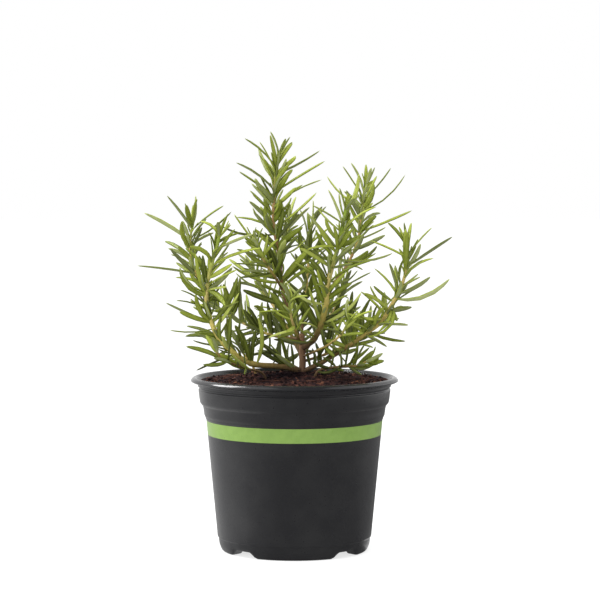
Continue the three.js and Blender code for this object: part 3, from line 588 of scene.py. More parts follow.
# Each shoot has its thickness at the foot and the tip, the share of it that is without leaves,
# its pairs of leaves and how far they reach. Its route runs from the middle of the piece it
# grows on to its tip. Its long outer leaves are placed one by one: (share of the route, tip
# x, y, z, rise of the leaf's middle).
SHOOTS = [
    dict(name="leader", thick=1.35, thin=0.7, leafless=0.2, pairs=8, reach=20,
         route=[(4, 3, 121), (0, 3, 129), (-4, 4, 142), (-7, 5, 151), (-9, 6, 170), (-12, 7, 188),
                (-12, 7, 202), (-11, 6, 215), (-9, 5, 227)],
         placed=[(1, -14, 4, 242, 0.6), (0.99, -5, 9, 238, 0), (0.97, -1, 0, 236, 0.5),
                 (0.93, -29, 3, 238, 1), (0.91, -20, -5, 236, 0.5), (0.91, 15, 10, 231, 0.4),
                 (0.88, -21, 12, 229, 1), (0.88, 1, 14, 228, 0.6), (0.82, -34, 6, 224, 1),
                 (0.81, 18, 12, 225, 0), (0.79, -32, -4, 219, 0.5), (0.74, 16, 16, 214, 0),
                 (0.75, -23, -7, 214, 0), (0.71, 5, 17, 211, 1), (0.73, -25, 0, 212, 0.5),
                 (0.63, -26, -8, 202, 0), (0.62, 13, -1, 207, -2), (0.59, -43, -2, 188, -2),
                 (0.6, -34, 18, 192, 1), (0.55, 3, -12, 195, 1), (0.46, 3, -15, 183, 0.5)]),
    dict(name="leader_front", thick=0.95, thin=0.65, leafless=0.2, pairs=4, reach=16,
         route=[(-7, 5, 151), (-11, -2, 158), (-15, -8, 164), (-19, -13, 171), (-22, -16, 178)],
         placed=[(0.88, -29, -12, 182, 0), (0.98, -23, -24, 186, 0.5), (0.95, -18, -12, 187, 0),
                 (0.72, -33, -20, 175, 1), (0.58, -27, -31, 167, 1), (0.52, -35, -5, 166, 1),
                 (0.73, -9, -27, 181, 0.5), (0.39, -31, -25, 159, 1)]),
    dict(name="leader_back", thick=0.95, thin=0.65, leafless=0.25, pairs=4, reach=15,
         route=[(-8, 6, 162), (-6, 14, 173), (-4, 20, 183), (-3, 23, 190)],
         placed=[(0.96, 1, 30, 204, 0.5), (0.83, 9, 22, 198, 0.5), (0.6, 6, 38, 188, 1),
                 (0.94, -8, 34, 202, 0)]),
    dict(name="left_main", thick=1.6, thin=0.7, leafless=0.42, pairs=8, reach=18,
         route=[(4, 2, 103), (-3, -2, 106), (-11, -5, 107), (-25, -10, 109), (-37, -13, 117),
                (-45, -14, 127), (-50, -14, 143), (-49, -17, 158), (-45, -22, 173),
                (-42, -24, 184)],
         placed=[(0.97, -53, -27, 191, 2.2), (0.98, -43, -30, 191, 0), (0.98, -36, -18, 189, 0),
                 (0.92, -23, -35, 184, 1.5), (0.95, -31, -12, 184, 0), (0.83, -18, -28, 176, 1.5),
                 (0.7, -65, -28, 165, -3), (0.66, -67, -20, 155, 1), (0.61, -67, -26, 146, 0.5),
                 (0.55, -74, -10, 144, 0.5), (0.52, -71, -22, 129, -2), (0.46, -63, -4, 124, 1),
                 (0.41, -55, -24, 127, 0.5), (0.73, -32, -34, 164, 1), (0.6, -31, -30, 146, 1),
                 (0.8, -62, -24, 176, 1), (0.68, -28, -6, 155, 1)]),
    dict(name="left_outer", thick=0.95, thin=0.65, leafless=0.12, pairs=6, reach=16,
         route=[(-51, -14, 146), (-54, -10, 155), (-57, -5, 161), (-60, 0, 171), (-60, 4, 181),
                (-59, 6, 188)],
         placed=[(0.37, -90.5, -8, 165, -2), (0.8, -87, 4, 195, -0.6), (0.95, -74, 8, 205, -0.5),
                 (0.99, -57, 4, 205, 0), (0.96, -63, 0, 201, 0.5), (0.92, -41, 14, 199, 0.8),
                 (0.81, -36, -2, 196, -0.5), (0.7, -64, -8, 191, 1), (0.34, -71, -14, 175, 1.5),
                 (0.72, -47, 20, 183, 1), (0.3, -69, 11, 166, 1), (0.59, -76, 20, 178, 1)]),
    dict(name="left_inner", thick=1.05, thin=0.65, leafless=0.3, pairs=7, reach=18,
         route=[(4, 3, 122), (-5, 14, 122), (-14, 21, 123), (-23, 27, 126), (-32, 31, 130),
                (-41, 33, 135), (-47, 33, 140)],
         placed=[(0.9, -41, 38, 155, 1), (0.98, -58, 36, 150, 0.5), (0.94, -60, 40, 139, 0.5),
                 (0.98, -48, 28, 155, 0.5), (0.72, -32, 30, 149, 0.5), (0.62, -29, 44, 146, 0.5),
                 (0.49, -19, 34, 142, 0.5)]),
    dict(name="back_high", thick=1.05, thin=0.65, leafless=0.3, pairs=7, reach=20,
         route=[(4, 4, 123), (5, 13, 136), (7, 22, 152), (8, 29, 165), (7, 34, 175),
                (10, 38, 186)],
         placed=[(0.96, 11, 36, 202, 0.4), (0.93, 19, 44, 198, 0.5), (0.89, 3, 42, 196, 0.5),
                 (0.82, 21, 34, 186, 0.5), (0.77, -3, 44, 181, 1), (0.71, 20, 48, 174, 1)]),
    dict(name="right_front", thick=1.5, thin=0.7, leafless=0.18, pairs=9, reach=19,
         route=[(5, 2, 117), (11, -2, 122), (15, -6, 130), (18, -10, 142), (19, -13, 153),
                (21, -15, 163), (24, -17, 173), (26, -19, 181), (28, -20, 192), (30, -20, 200)],
         placed=[(0.87, 19, -22, 209, 1), (0.99, 30, -20, 207, 0), (0.96, 34, -28, 204, 0),
                 (0.88, 10, -24, 200, -0.5), (0.72, 7, -30, 196, 1), (0.83, 13, -10, 198, 0.5),
                 (0.82, 47, -14, 199, 1.5), (0.66, 56, -24, 173, -2.5), (0.63, 3, -34, 180, 0.5),
                 (0.49, 0, -30, 168, 0.5), (0.42, 12, -40, 156, 0.5), (0.59, 33, -39, 168, 1),
                 (0.49, 44, -31, 169, 1), (0.35, 3, -34, 152, 1), (0.23, 35, -30, 121, 1.5)]),
    dict(name="right_tall", thick=1.05, thin=0.65, leafless=0.3, pairs=7, reach=16,
         route=[(18, -10, 142), (22, 0, 153), (29, 10, 162), (35, 18, 173), (38, 23, 183),
                (40, 27, 197), (42, 28, 211)],
         placed=[(0.92, 33, 31, 224, 0.5), (0.9, 28, 22, 222, 0.5), (0.84, 19, 34, 216, -1),
                 (0.99, 42, 31, 223, 0), (0.98, 45, 24, 221, 0), (0.9, 57, 34, 221, 0.5),
                 (0.85, 49, 36, 216, 1.5), (0.82, 65, 26, 217, -1), (0.76, 30, 17, 208, 0.5),
                 (0.67, 69, 23, 196, -1.5), (0.72, 51, 37, 194, 1), (0.53, 53, 13, 182, -0.5),
                 (0.61, 54, 31, 186, 0.5), (0.59, 24, 34, 188, 0.5), (0.39, 48, 25, 171, 0.5)]),
    dict(name="right_main", thick=1.6, thin=0.75, leafless=0.34, pairs=8, reach=16,
         route=[(4, 2, 103), (16, -3, 109), (30, -7, 118), (40, -8, 125), (50, -8, 133),
                (56, -8, 143), (61, -8, 152), (64, -9, 163), (65, -10, 173), (64, -11, 180)],
         placed=[(0.88, 63, -1, 190, 0.5), (0.95, 53, -14, 190, 1), (0.9, 44, -3, 179, 0.5),
                 (0.91, 79, -8, 187, 1), (0.85, 90.5, -14, 182, 0.5), (0.79, 73, -21, 169, 0),
                 (0.73, 73, 5, 158, 0), (0.67, 89, -12, 158, -3.5), (0.7, 54, -17, 167, 0.5),
                 (0.69, 46, 3, 163, 1), (0.59, 43, -13, 154, 0), (0.56, 38, -2, 150, 0.5),
                 (0.5, 66, 2, 130, 0.5), (0.59, 67, -19, 142, 0), (0.49, 33, -21, 141, 1),
                 (0.44, 31, -24, 133, 1), (0.92, 70, -26, 181, 0), (0.41, 53, -17, 119, 0.5),
                 (0.61, 59, -21, 133, 0.5)]),
    dict(name="low_right", thick=1, thin=0.6, leafless=0.35, pairs=5, reach=14,
         route=[(10, -10, 93), (13, -11, 104), (21, -15, 107), (29, -20, 108), (36, -24, 109),
                (42, -27, 112)],
         placed=[(0.95, 50, -35, 117, -1), (0.8, 40, -22, 121, 0), (0.6, 25, -27, 119, 0.5),
                 (0.85, 48, -15, 109, 0.5), (0.97, 51, -28, 112, 0)]),
    dict(name="low_front_left", thick=0.9, thin=0.6, leafless=0.4, pairs=4, reach=13,
         route=[(-15, -7, 93), (-18, -11, 103), (-27, -21, 107), (-34, -28, 110), (-40, -33, 113),
                (-44, -36, 118)],
         placed=[(0.88, -61, -38, 121, 1), (0.74, -45, -46, 115, 0.5), (0.95, -50, -32, 127, 0.5),
                 (0.78, -36, -42, 125, 0.5), (0.97, -46, -49, 127, 0.5)]),
    dict(name="low_back_left", thick=0.9, thin=0.6, leafless=0.4, pairs=5, reach=14,
         route=[(4, 4, 104), (-3, 12, 107), (-8, 19, 110), (-16, 27, 114), (-22, 33, 119)],
         placed=[(0.93, -28, 40, 132, 0.5), (0.91, -18, 28, 132, 0.5),
                 (0.58, -19, 14, 113, 0.5)]),
    dict(name="low_left", thick=0.9, thin=0.6, leafless=0.45, pairs=4, reach=14,
         route=[(-20, 14, 90), (-24, 17, 104), (-30, 22, 112), (-35, 26, 121)]),
    dict(name="back_left", thick=1.05, thin=0.65, leafless=0.3, pairs=7, reach=20,
         route=[(4, 4, 112), (1, 14, 117), (-4, 27, 126), (-12, 38, 138), (-20, 46, 150),
                (-25, 51, 160)],
         placed=[(0.98, -26, 60, 175, 0.5), (0.9, -40, 62, 166, 0.5), (0.8, -18, 64, 160, 1)]),
    dict(name="back_right", thick=1.05, thin=0.65, leafless=0.3, pairs=7, reach=20,
         route=[(5, 3, 113), (11, 13, 121), (19, 26, 131), (26, 38, 142), (30, 47, 154)],
         placed=[(0.98, 32, 55, 168, 0.5), (0.9, 46, 58, 158, 0.5), (0.8, 22, 63, 155, 1)]),
    dict(name="back_low", thick=1, thin=0.65, leafless=0.3, pairs=7, reach=19,
         route=[(4, 4, 108), (3, 18, 113), (1, 33, 120), (-2, 46, 129), (-4, 54, 140)],
         placed=[(0.97, -8, 62, 154, 0.5), (0.9, 6, 66, 147, 1), (0.75, -12, 65, 134, 1)]),
    dict(name="low_back_right", thick=1, thin=0.65, leafless=0.3, pairs=6, reach=18,
         route=[(5, 3, 109), (17, 12, 112), (30, 22, 117), (41, 30, 124), (48, 35, 132)],
         placed=[(0.95, 60, 44, 145, 0.5), (0.85, 62, 30, 132, 0.5), (0.8, 40, 52, 136, 1)]),
    dict(name="front_low", thick=0.9, thin=0.65, leafless=0.3, pairs=5, reach=16,
         route=[(4, 2, 119), (2, -9, 124), (0, -20, 130), (-2, -31, 138), (-3, -38, 147)],
         placed=[(0.97, -8, -56, 158, 0.5), (0.9, 8, -66, 151, 1), (0.8, -20, -52, 141, 1)]),
    dict(name="front_right", thick=0.9, thin=0.65, leafless=0.35, pairs=5, reach=15,
         route=[(5, 2, 112), (12, -10, 116), (20, -21, 121), (27, -31, 128), (31, -38, 137)],
         placed=[(0.97, 30, -56, 149, 0.5), (0.9, 44, -54, 142, 0.5), (0.75, 16, -58, 133, 1)]),
]


def unit(vector):
    return vector / np.linalg.norm(vector)


class Stem:
    """A stem on a smooth middle line, which is read by its share of the stem's length."""

    def __init__(self, number, name, thick, thin, route, leafless=1, pairs=0, reach=0, placed=()):
        self.number, self.name, self.thick, self.thin = number, name, thick, thin
        self.leafless, self.pairs, self.reach, self.placed = leafless, pairs, reach, placed
        self.leaves = []
        route = [np.array(point, float) for point in route]
        self.points = [2 * route[0] - route[1], *route, 2 * route[-1] - route[-2]]
        self.spans = len(route) - 1
        self.times = np.linspace(0, 1, 201)
        line = np.array([self.curve(time) for time in self.times])
        steps = np.linalg.norm(np.diff(line, axis=0), axis=1)
        self.lengths = np.concatenate([[0], np.cumsum(steps)])
        self.length = self.lengths[-1]

    def curve(self, time):
        place = min(max(time, 0), 1) * self.spans
        i = min(int(place), self.spans - 1)
        s = place - i
        a, b, c, d = self.points[i:i + 4]
        return 0.5 * (2 * b + (c - a) * s + (2 * a - 5 * b + 4 * c - d) * s**2
                      + (3 * b - a - 3 * c + d) * s**3)

    def time(self, share):
        return np.interp(share * self.length, self.lengths, self.times)

    def point(self, share):
        return self.curve(self.time(share))

    def along(self, share):
        time, near = self.time(share), 0.0001
        return unit(self.curve(min(1, time + near)) - self.curve(max(0, time - near)))

    def radius(self, share):
        return self.thick + (self.thin - self.thick) * share


BARK_STEP = 1.6  # between rings of a stem
JOINT_SWELL, JOINT_REACH = 0.16, 0.9  # how much thicker a stem is at a leaf joint, and how near
BARK_GRAIN = (1.3, 1.3, 0.45)  # lumps to a millimetre, drawn out up the stem
FINE_GRAIN, FINE_SHARE = 2.3, 0.5  # the finer lumps' scale and height against the coarse ones'


def grow(name, stem, bevel, knots, roughness, red, age=1, stoutness=1):
    """A stem as a bevelled curve made a mesh, with swollen leaf joints and uneven bark. Its skin
    turns from old to young along it, later where its age is under 1 and sooner above."""
    count = max(12, int(stem.length / BARK_STEP))
    shares = np.linspace(0, 1, count)
    curve = bpy.data.curves.new(name, "CURVE")
    curve.dimensions = "3D"
    curve.bevel_depth = MM
    curve.bevel_resolution = bevel
    curve.use_fill_caps = True
    spline = curve.splines.new("POLY")
    spline.points.add(count - 1)
    for share, point in zip(shares, spline.points):
        point.co = (*(stem.point(share) * MM), 1)
        joint = max([math.exp(-((share - knot) * stem.length / JOINT_REACH) ** 2)
                     for knot in knots] + [0])
        point.radius = stem.radius(share) * (1 + JOINT_SWELL * joint) * stoutness
    piece = bpy.data.objects.new(name, curve)
    bpy.context.collection.objects.link(piece)
    bpy.ops.object.select_all(action="DESELECT")
    piece.select_set(True)
    bpy.context.view_layer.objects.active = piece
    bpy.ops.object.convert(target="MESH")
    piece = bpy.context.object
    bpy.ops.object.mode_set(mode="EDIT")
    bpy.ops.mesh.select_all(action="SELECT")
    bpy.ops.mesh.remove_doubles(threshold=0.01 * MM)
    bpy.ops.mesh.normals_make_consistent(inside=False)
    bpy.ops.object.mode_set(mode="OBJECT")
    bpy.ops.object.shade_smooth()
    middle = np.array([stem.point(share) for share in shares])
    climb = np.zeros(len(piece.data.vertices))
    normals = [vertex.normal.copy() for vertex in piece.data.vertices]
    for i, vertex in enumerate(piece.data.vertices):
        place = np.array(vertex.co) / MM
        climb[i] = shares[np.argmin(np.linalg.norm(middle - place, axis=1))]
        grain = Vector(place * BARK_GRAIN)
        amount = roughness * (noise.noise(grain) + FINE_SHARE * noise.noise(grain * FINE_GRAIN))
        vertex.co += normals[i] * (amount * stem.radius(climb[i]) * MM)
    keep_marks(piece.data, {"climb": climb * age, "redness": np.full(len(climb), red)})
    return piece


def bark(name, pale_tones, red_tones):
    """Stem skin. It goes from old wood to young green along the stem, paler or redder, with
    painted shade in its furrows.
    """
    material, tree, shader = new_material(name, 0.8, 0.2)
    pale, red = (ramp(tree, mark(tree, "climb"), tones) for tones in (pale_tones, red_tones))
    colour = blended(tree, mark(tree, "redness"), pale, red)
    furrows = noise_of(tree, object_place(tree), 900, 4, (1, 1, 0.22))
    # Painted shade: the bark is darker in its furrows, where the relief sinks in.
    shade = ramp(tree, furrows, [(0.3, 0.68), (0.62, 1.0)])
    tree.links.new(blended(tree, 1.0, colour, shade, "MULTIPLY"), shader.inputs["Base Color"])
    relief(tree, shader, furrows, 0.4)
    return material


OLD_WOOD = [(0.2, srgb(112, 88, 70)), (1.0, srgb(128, 98, 74))]
PALE_STEM = [(0.0, srgb(88, 68, 52)), (0.22, srgb(128, 110, 60)), (0.4, srgb(190, 178, 90)),
             (0.7, srgb(204, 190, 118)), (0.85, srgb(152, 162, 76)), (1.0, srgb(128, 148, 58))]
RED_STEM = [(0.0, srgb(84, 64, 52)), (0.3, srgb(110, 82, 58)), (0.5, srgb(144, 104, 72)),
            (0.75, srgb(170, 136, 94)), (0.9, srgb(140, 142, 72)), (1.0, srgb(124, 144, 58))]
TRUNK_BEVEL, TRUNK_BARK = 6, 0.16
STEM_BEVEL, STEM_BARK = 2, 0.12
# How far the stems that stand out differ from the rest: redder or paler, younger or older in
# their skin, and stouter. A slim stem's skin lies a little inside its line's radius.
HALF_RED, SLIM = 0.5, 0.88
REDNESS = {"leader": 0.9, "right_tall": 0.8, "left_main": 0.1, "right_front": 0.2,
           "right_main": 0.35}
AGE = {"low_right": 0.3, "low_front_left": 0.3, "low_left": 0.7, "right_main": 0.85,
       "right_front": 1.3}
STOUT = {"left_main": 1.15, "right_front": 1.2}

shoots = [Stem(number, **shoot) for number, shoot in enumerate(SHOOTS, 1)]
trunk_line = Stem(0, **TRUNK)
trunk = grow("woody_trunk", trunk_line, TRUNK_BEVEL, [], TRUNK_BARK, 0)
trunk.data.materials.append(bark("old_bark", OLD_WOOD, OLD_WOOD))
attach(trunk, "root")
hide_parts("trunk")
# The shoots' stems are grown once their leaves are placed, because they swell at each leaf.
young_bark = bark("young_bark", PALE_STEM, RED_STEM)

# ---------------------------------------------------------------- leaves
# Leathery needle leaves sit in pairs, each pair a quarter turn from the last, with tufts of
# young leaves in their axils. They are green and grooved above, rolled in at the edges, and
# felted grey-green below. One leaf is modelled and each copy is bent along its own line.
LEAF_WIDTH = 2.6
LEAF_THICKNESS = 0.9
THINNER_BELOW = 2.2  # the width under which a leaf is thinner too
LEAF_FLOOR = 104.6
LEAF_CLEARANCE, CROWDED = 0.35, 0.5  # small added leaves keep this share of their distance
TUFT = 4.5  # how far from their stem the leaves of one shoot may touch
FAR_APART, TINY = 6, 1e-9
STRETCH = 11  # the length of a stem's straight stretches
BEND_AT = 0.45  # where along a leaf it bends
LIFT = 0.15  # how strongly leaves turn up towards the light
SEED = 2718

# Inner leaves that show from the front, placed one by one: (share of the stem, x and z of the
# leaf's middle, x, y and z of its tip, width, tone from 0 dark to 1 bright), and "felt" where
# the underside shows. A tone holds the leaf's own colour and painted light and shade: dark for a
# leaf in shade, bright for a lit one.
INNER_LEAVES = {
    "left_main": [
        (0.61, -56, 144, -59, -22, 147, 1.4, 0.6), (0.55, -54, 140, -56, -24, 150, 2.9, 0.45),
        (0.55, -50, 139, -52, -20, 146, 2.3, 0.2), (0.71, -43, 149, -39, -30, 143, 3.5, 0.4),
        (0.71, -42, 157, -35, -24, 165, 2.6, 0.5, "felt"),
        (0.71, -43, 153, -38, -30, 154, 1.7, 0.8), (0.55, -38, 144, -32, -24, 160, 3.8, 0.25),
        (0.52, -39, 138, -31, -30, 151, 2.9, 0.75), (0.44, -43, 127, -42, -20, 137, 3.5, 0.25),
        (0.4, -37, 125, -36, -22, 138, 3.2, 0.2), (0.27, -29, 122, -34, -22, 132, 3.8, 0.12),
        (0.39, -39, 121, -41, -24, 126, 2.9, 0.85), (0.33, -32, 117, -36, -20, 121, 1.7, 0.2),
        (0.4, -44, 114, -47, -20, 117, 2.3, 0.15), (0.24, -18, 123, -21, -26, 137, 2.3, 0.7),
        (0.26, -24, 119, -22, -14, 129, 2.3, 0.15), (0.27, -27, 117, -30, -18, 128, 2.9, 0.15),
        (0.05, -9, 112, -19, -10, 121, 3.2, 0.02), (0.07, -11, 111, -20, -12, 116, 2.6, 0.05),
        (0.03, -4, 109, -11, -14, 115, 2.9, 0.55, "felt"), (0.07, -4, 113, -3, 0, 120, 1.6, 0.05),
        (0.05, -1, 112, -2, -4, 120, 1.8, 0.05), (0.84, -50, 173, -59, -24, 176, 2.6, 0.55),
        (0.67, -54, 158, -56, -26, 173, 2.6, 0.6), (0.73, -51, 162, -52, -22, 172, 2.6, 0.15),
        (0.7, -55, 155, -60, -14, 161, 2.6, 0.4), (0.68, -61, 154, -65, -22, 165, 3.5, 0.35),
        (0.7, -43, 156, -38, -10, 162, 3.2, 0.5, "felt"),
        (0.66, -43, 146, -38, -8, 139, 2.9, 0.2), (0.55, -57, 136, -65, -30, 140, 3.5, 0.45),
        (0.77, -41, 163, -35, -30, 167, 3.2, 0.65), (0.85, -51, 174, -59, -34, 177, 2.3, 0.52),
    ],
    "low_front_left": [
        (0.5, -35, 111, -42, -36, 117, 3.8, 0.55), (0.44, -30, 110, -36, -34, 117, 2.3, 0.75),
    ],
    "left_inner": [
        (0.51, -25, 131, -30, 24, 138, 3.2, 0.08), (0.4, -18, 136, -24, 18, 140, 2.9, 0.45),
        (0.38, -14, 132, -16, 16, 143, 2.6, 0.1), (0.19, -8, 132, -13, 10, 136, 3.2, 0.35),
        (0.85, -39, 143, -42, 24, 153, 3.8, 0.35), (0.81, -34, 144, -36, 26, 154, 3.5, 0.2),
        (0.85, -34, 145, -32, 24, 157, 3.2, 0.2), (0.51, -24, 134, -28, 22, 140, 3.5, 0.12),
        (0.37, -18, 136, -24, 20, 140, 3.2, 0.12),
    ],
    "front_low": [
        (0.24, -5, 138, -14, -22, 151, 4.0, 0.25), (0.42, -6, 128, -15, -28, 125, 2.0, 0.85),
    ],
    "right_front": [
        (0.1, 3, 129, 1, -26, 139, 1.6, 0.85), (0.09, 2, 121, -10, -22, 126, 3.5, 0.45, "felt"),
        (0.18, 8, 132, 3, -24, 133, 1.6, 0.85), (0.11, 8, 127, 5, -20, 128, 2.3, 0.6),
        (0.18, 8, 140, 3, -16, 148, 3.8, 0.2), (0.36, 5, 147, -5, -34, 158, 2.1, 0.95),
        (0.47, 15, 162, 8, -26, 170, 4.0, 0.2), (0.34, 13, 153, 10, -22, 165, 3.5, 0.3),
        (0.22, 11, 143, 8, -26, 154, 2.1, 0.75), (0.39, 16, 154, 13, -28, 164, 2.6, 0.6),
        (0.43, 24, 156, 29, -26, 162, 2.6, 0.55), (0.38, 25, 151, 33, -20, 156, 3.2, 0.3),
        (0.73, 16, 177, 7, -32, 175, 1.6, 0.6), (0.61, 18, 170, 13, -24, 176, 1.5, 0.2),
        (0.22, 29, 139, 38, -26, 151, 2.7, 0.85), (0.34, 22, 142, 27, -10, 145, 2.0, 0.3),
        (0.23, 20, 134, 26, -6, 138, 2.3, 0.1), (0.2, 25, 133, 33, -18, 138, 3.5, 0.25),
        (0.88, 24, 199, 21, -10, 206, 1.7, 0.5, "felt"), (0.71, 28, 180, 33, -30, 187, 3.5, 0.35),
        (0.71, 24, 181, 22, -32, 189, 2.9, 0.5), (0.73, 33, 180, 38, -24, 183, 3.2, 0.35),
        (0.69, 18, 181, 13, -30, 189, 2.6, 0.55), (0.59, 12, 171, 3, -34, 176, 3.2, 0.7),
        (0.66, 16, 178, 12, -12, 186, 2.9, 0.3), (0.77, 20, 186, 18, -8, 193, 2.6, 0.35),
    ],
    "low_back_left": [
        (0.31, -10, 113, -15, 16, 119, 1.4, 0.35), (0.31, -5, 113, -8, 8, 123, 2.6, 0.2),
    ],
    "right_main": [
        (0.06, 8, 111, 7, -4, 117, 2.3, 0.1), (0.07, 12, 111, 10, 2, 117, 2.3, 0.1),
        (0.29, 27, 125, 21, -2, 132, 4.0, 0.15), (0.54, 39, 135, 29, -22, 139, 2.2, 0.65),
        (0.4, 35, 131, 28, -16, 132, 2.6, 0.6), (0.34, 35, 129, 38, -12, 138, 3.8, 0.3),
        (0.4, 39, 130, 40, -4, 137, 2.6, 0.2), (0.38, 42, 132, 49, -12, 137, 3.5, 0.35),
        (0.47, 47, 136, 51, -18, 142, 2.6, 0.55), (0.64, 55, 131, 41, -24, 125, 2.4, 0.42),
        (0.62, 54, 134, 47, -18, 127, 2.0, 0.48), (0.29, 23, 121, 16, -14, 122, 3.2, 0.45),
        (0.28, 25, 117, 19, -18, 121, 2.3, 0.3), (0.13, 14, 115, 12, -8, 121, 2.6, 0.08),
        (0.11, 15, 115, 20, -10, 120, 2.3, 0.1), (0.13, 21, 114, 27, -14, 117, 1.5, 0.1),
        (0.33, 38, 134, 44, 0, 146, 2.6, 0.2), (0.6, 47, 146, 39, -20, 150, 2.3, 0.6),
        (0.65, 50, 149, 45, -16, 154, 1.7, 0.3), (0.82, 64, 174, 63, -18, 186, 3.5, 0.65),
        (0.84, 69, 170, 72, -14, 178, 2.6, 0.6, "felt"), (0.83, 64, 174, 64, -26, 185, 3.6, 0.4),
    ],
    "leader": [
        (0.43, -8, 172, -5, -4, 180, 4.3, 0.9), (0.33, -11, 166, -15, -8, 176, 3.8, 0.1),
        (0.52, -4, 181, 5, -4, 187, 3.5, 0.35), (0.34, 1, 166, 8, -6, 174, 4.0, 0.5),
        (0.32, 2, 163, 10, -4, 168, 2.6, 0.2), (0.3, 3, 160, 11, -8, 164, 2.6, 0.35),
        (0.33, -22, 157, -36, -6, 165, 2.6, 0.5), (0.5, -17, 180, -23, -2, 186, 2.9, 0.6),
        (0.41, -15, 170, -16, 2, 179, 3.2, 0.3), (0.79, -8, 211, -3, 2, 219, 3.5, 0.6),
        (0.83, -6, 215, -1, 14, 220, 2.9, 0.4), (0.55, -8, 187, -6, 0, 199, 3.2, 0.2),
        (0.58, -16, 189, -17, -2, 200, 3.5, 0.5), (0.69, -16, 198, -17, 10, 207, 2.9, 0.35),
        (0.88, -17, 222, -21, 12, 233, 2.9, 0.6, "felt"),
        (0.75, -19, 208, -23, 12, 215, 2.6, 0.5, "felt"), (0.65, -9, 196, -8, -2, 203, 3.5, 0.35),
        (0.62, -5, 195, -3, 2, 201, 2.0, 0.4), (0.86, -7, 218, -3, -4, 223, 2.9, 0.45),
        (0.2, -19, 146, -30, -4, 151, 3.2, 0.15), (0.73, -5, 204, 1, -12, 210, 2.6, 0.56),
        (0.8, -7, 212, -3, -8, 218, 3.2, 0.44), (0.91, -4, 223, 1, -4, 227, 2.6, 0.56),
        (0.69, -9, 200, -9, -16, 205, 2.6, 0.6), (0.67, -4, 199, -2, -10, 204, 2.3, 0.4),
        (0.7, -16, 199, -16, -12, 204, 2.0, 0.5), (0.94, -12, 230, -14, -2, 240, 2.3, 0.5),
        (0.96, -5, 230, -1, -2, 235, 2.0, 0.5), (0.7, -18, 200, -24, -12, 206, 2.0, 0.4),
        (0.59, -15, 189, -16, -14, 195, 2.6, 0.35, "felt"),
    ],
    "back_high": [
        (0.22, 2, 145, -3, 6, 154, 4.0, 0.08), (0.17, 6, 141, 5, 4, 150, 4.0, 0.05),
        (0.35, 9, 150, 10, 10, 159, 3.5, 0.2), (0.67, 9, 175, 10, 26, 186, 2.6, 0.15),
        (0.71, 13, 174, 16, 24, 182, 2.9, 0.2), (0.67, 4, 175, 3, 30, 185, 3.2, 0.25),
    ],
    "low_back_right": [
        (0.64, 33, 132, 38, 18, 146, 3.2, 0.1), (0.28, 22, 129, 27, 6, 146, 3.8, 0.08),
        (0.6, 33, 137, 34, 20, 149, 2.9, 0.15),
    ],
    "low_right": [
        (0.76, 35, 114, 36, -26, 123, 2.0, 0.2), (0.66, 30, 114, 31, -24, 121, 1.6, 0.15),
        (0.66, 36, 113, 43, -18, 119, 1.8, 0.25), (0.76, 43, 109, 48, -30, 116, 2.0, 0.3),
        (0.72, 37, 107, 43, -30, 109, 1.7, 0.1, "felt"), (0.59, 19, 105, 13, -26, 106, 1.9, 0.02),
        (0.44, 16, 108, 10, -20, 111, 1.9, 0.02), (0.53, 20, 111, 16, -16, 113, 1.9, 0.05),
    ],
    "leader_front": [
        (0.41, -22, 162, -31, -12, 162, 1.7, 0.6, "felt"),
        (0.52, -19, 172, -25, -20, 177, 3.2, 0.75), (0.51, -21, 168, -28, -14, 173, 2.6, 0.4),
    ],
    "right_tall": [
        (0.66, 43, 189, 48, 20, 193, 2.9, 0.35), (0.83, 45, 204, 46, 10, 212, 3.8, 0.45),
        (0.83, 35, 202, 29, 34, 207, 3.2, 0.6, "felt"), (0.71, 35, 193, 32, 30, 200, 2.3, 0.4),
        (0.66, 34, 187, 31, 32, 194, 2.3, 0.3), (0.42, 38, 168, 43, 14, 173, 3.5, 0.3),
    ],
    "left_outer": [
        (0.52, -63, 172, -67, -4, 176, 2.3, 0.4), (0.99, -61, 194, -62, -8, 200, 2.9, 0.42),
        (1.0, -58, 198, -56, 2, 203, 1.8, 0.5), (0.71, -64, 183, -64, -14, 191, 2.9, 0.52),
    ],
}

# Half of a leaf's section, (across, up): groove, ridge, edge, rolled edge, midrib below.
LEAF_SECTION = [(0, 0.30), (0.2, 0.52), (0.5, 0.1), (0.36, -0.38), (0, -0.18)]
# Rings along the leaf: (share of its length, width, thickness), then the tip.
LEAF_RINGS = [(0, 0.34, 0.6), (0.06, 0.48, 0.8), (0.2, 0.84, 1), (0.42, 1, 1), (0.68, 0.94, 1),
              (0.86, 0.7, 0.9), (0.95, 0.42, 0.6)]
LEAF_END = 0.995  # a leaf ends a little short of its line


def model_leaf():
    """The straight leaf, one unit long on Y and wide on X, extruded from its foot."""
    section = LEAF_SECTION + [(-x, z) for x, z in LEAF_SECTION[3:0:-1]]
    bpy.ops.mesh.primitive_circle_add(vertices=len(section), radius=1, fill_type="NGON")
    leaf = bpy.context.object
    before = LEAF_RINGS[0]
    for vertex, (x, z) in zip(leaf.data.vertices, section):
        vertex.co = (x * before[1], 0, z * before[2])
    bpy.ops.object.mode_set(mode="EDIT")
    bpy.ops.mesh.select_mode(type="EDGE")
    bpy.ops.mesh.select_all(action="SELECT")
    for ring in LEAF_RINGS[1:]:
        step = ring[0] - before[0]
        bpy.ops.mesh.select_non_manifold()
        bpy.ops.mesh.extrude_edges_move(TRANSFORM_OT_translate={"value": (0, step, 0)})
        spread = (ring[1] / before[1], 1, ring[2] / before[2])
        bpy.ops.transform.resize(value=spread, center_override=(0, ring[0], 0))
        before = ring
    bpy.ops.mesh.extrude_edges_move(TRANSFORM_OT_translate={"value": (0, 1 - before[0], 0)})
    bpy.ops.mesh.merge(type="CENTER")
    bpy.ops.mesh.select_all(action="SELECT")
    bpy.ops.mesh.normals_make_consistent(inside=False)
    bpy.ops.object.mode_set(mode="OBJECT")
    return model_of(leaf)


leaf_model, leaf_faces = model_leaf()
leaf_across, leaf_share, leaf_up = leaf_model.T
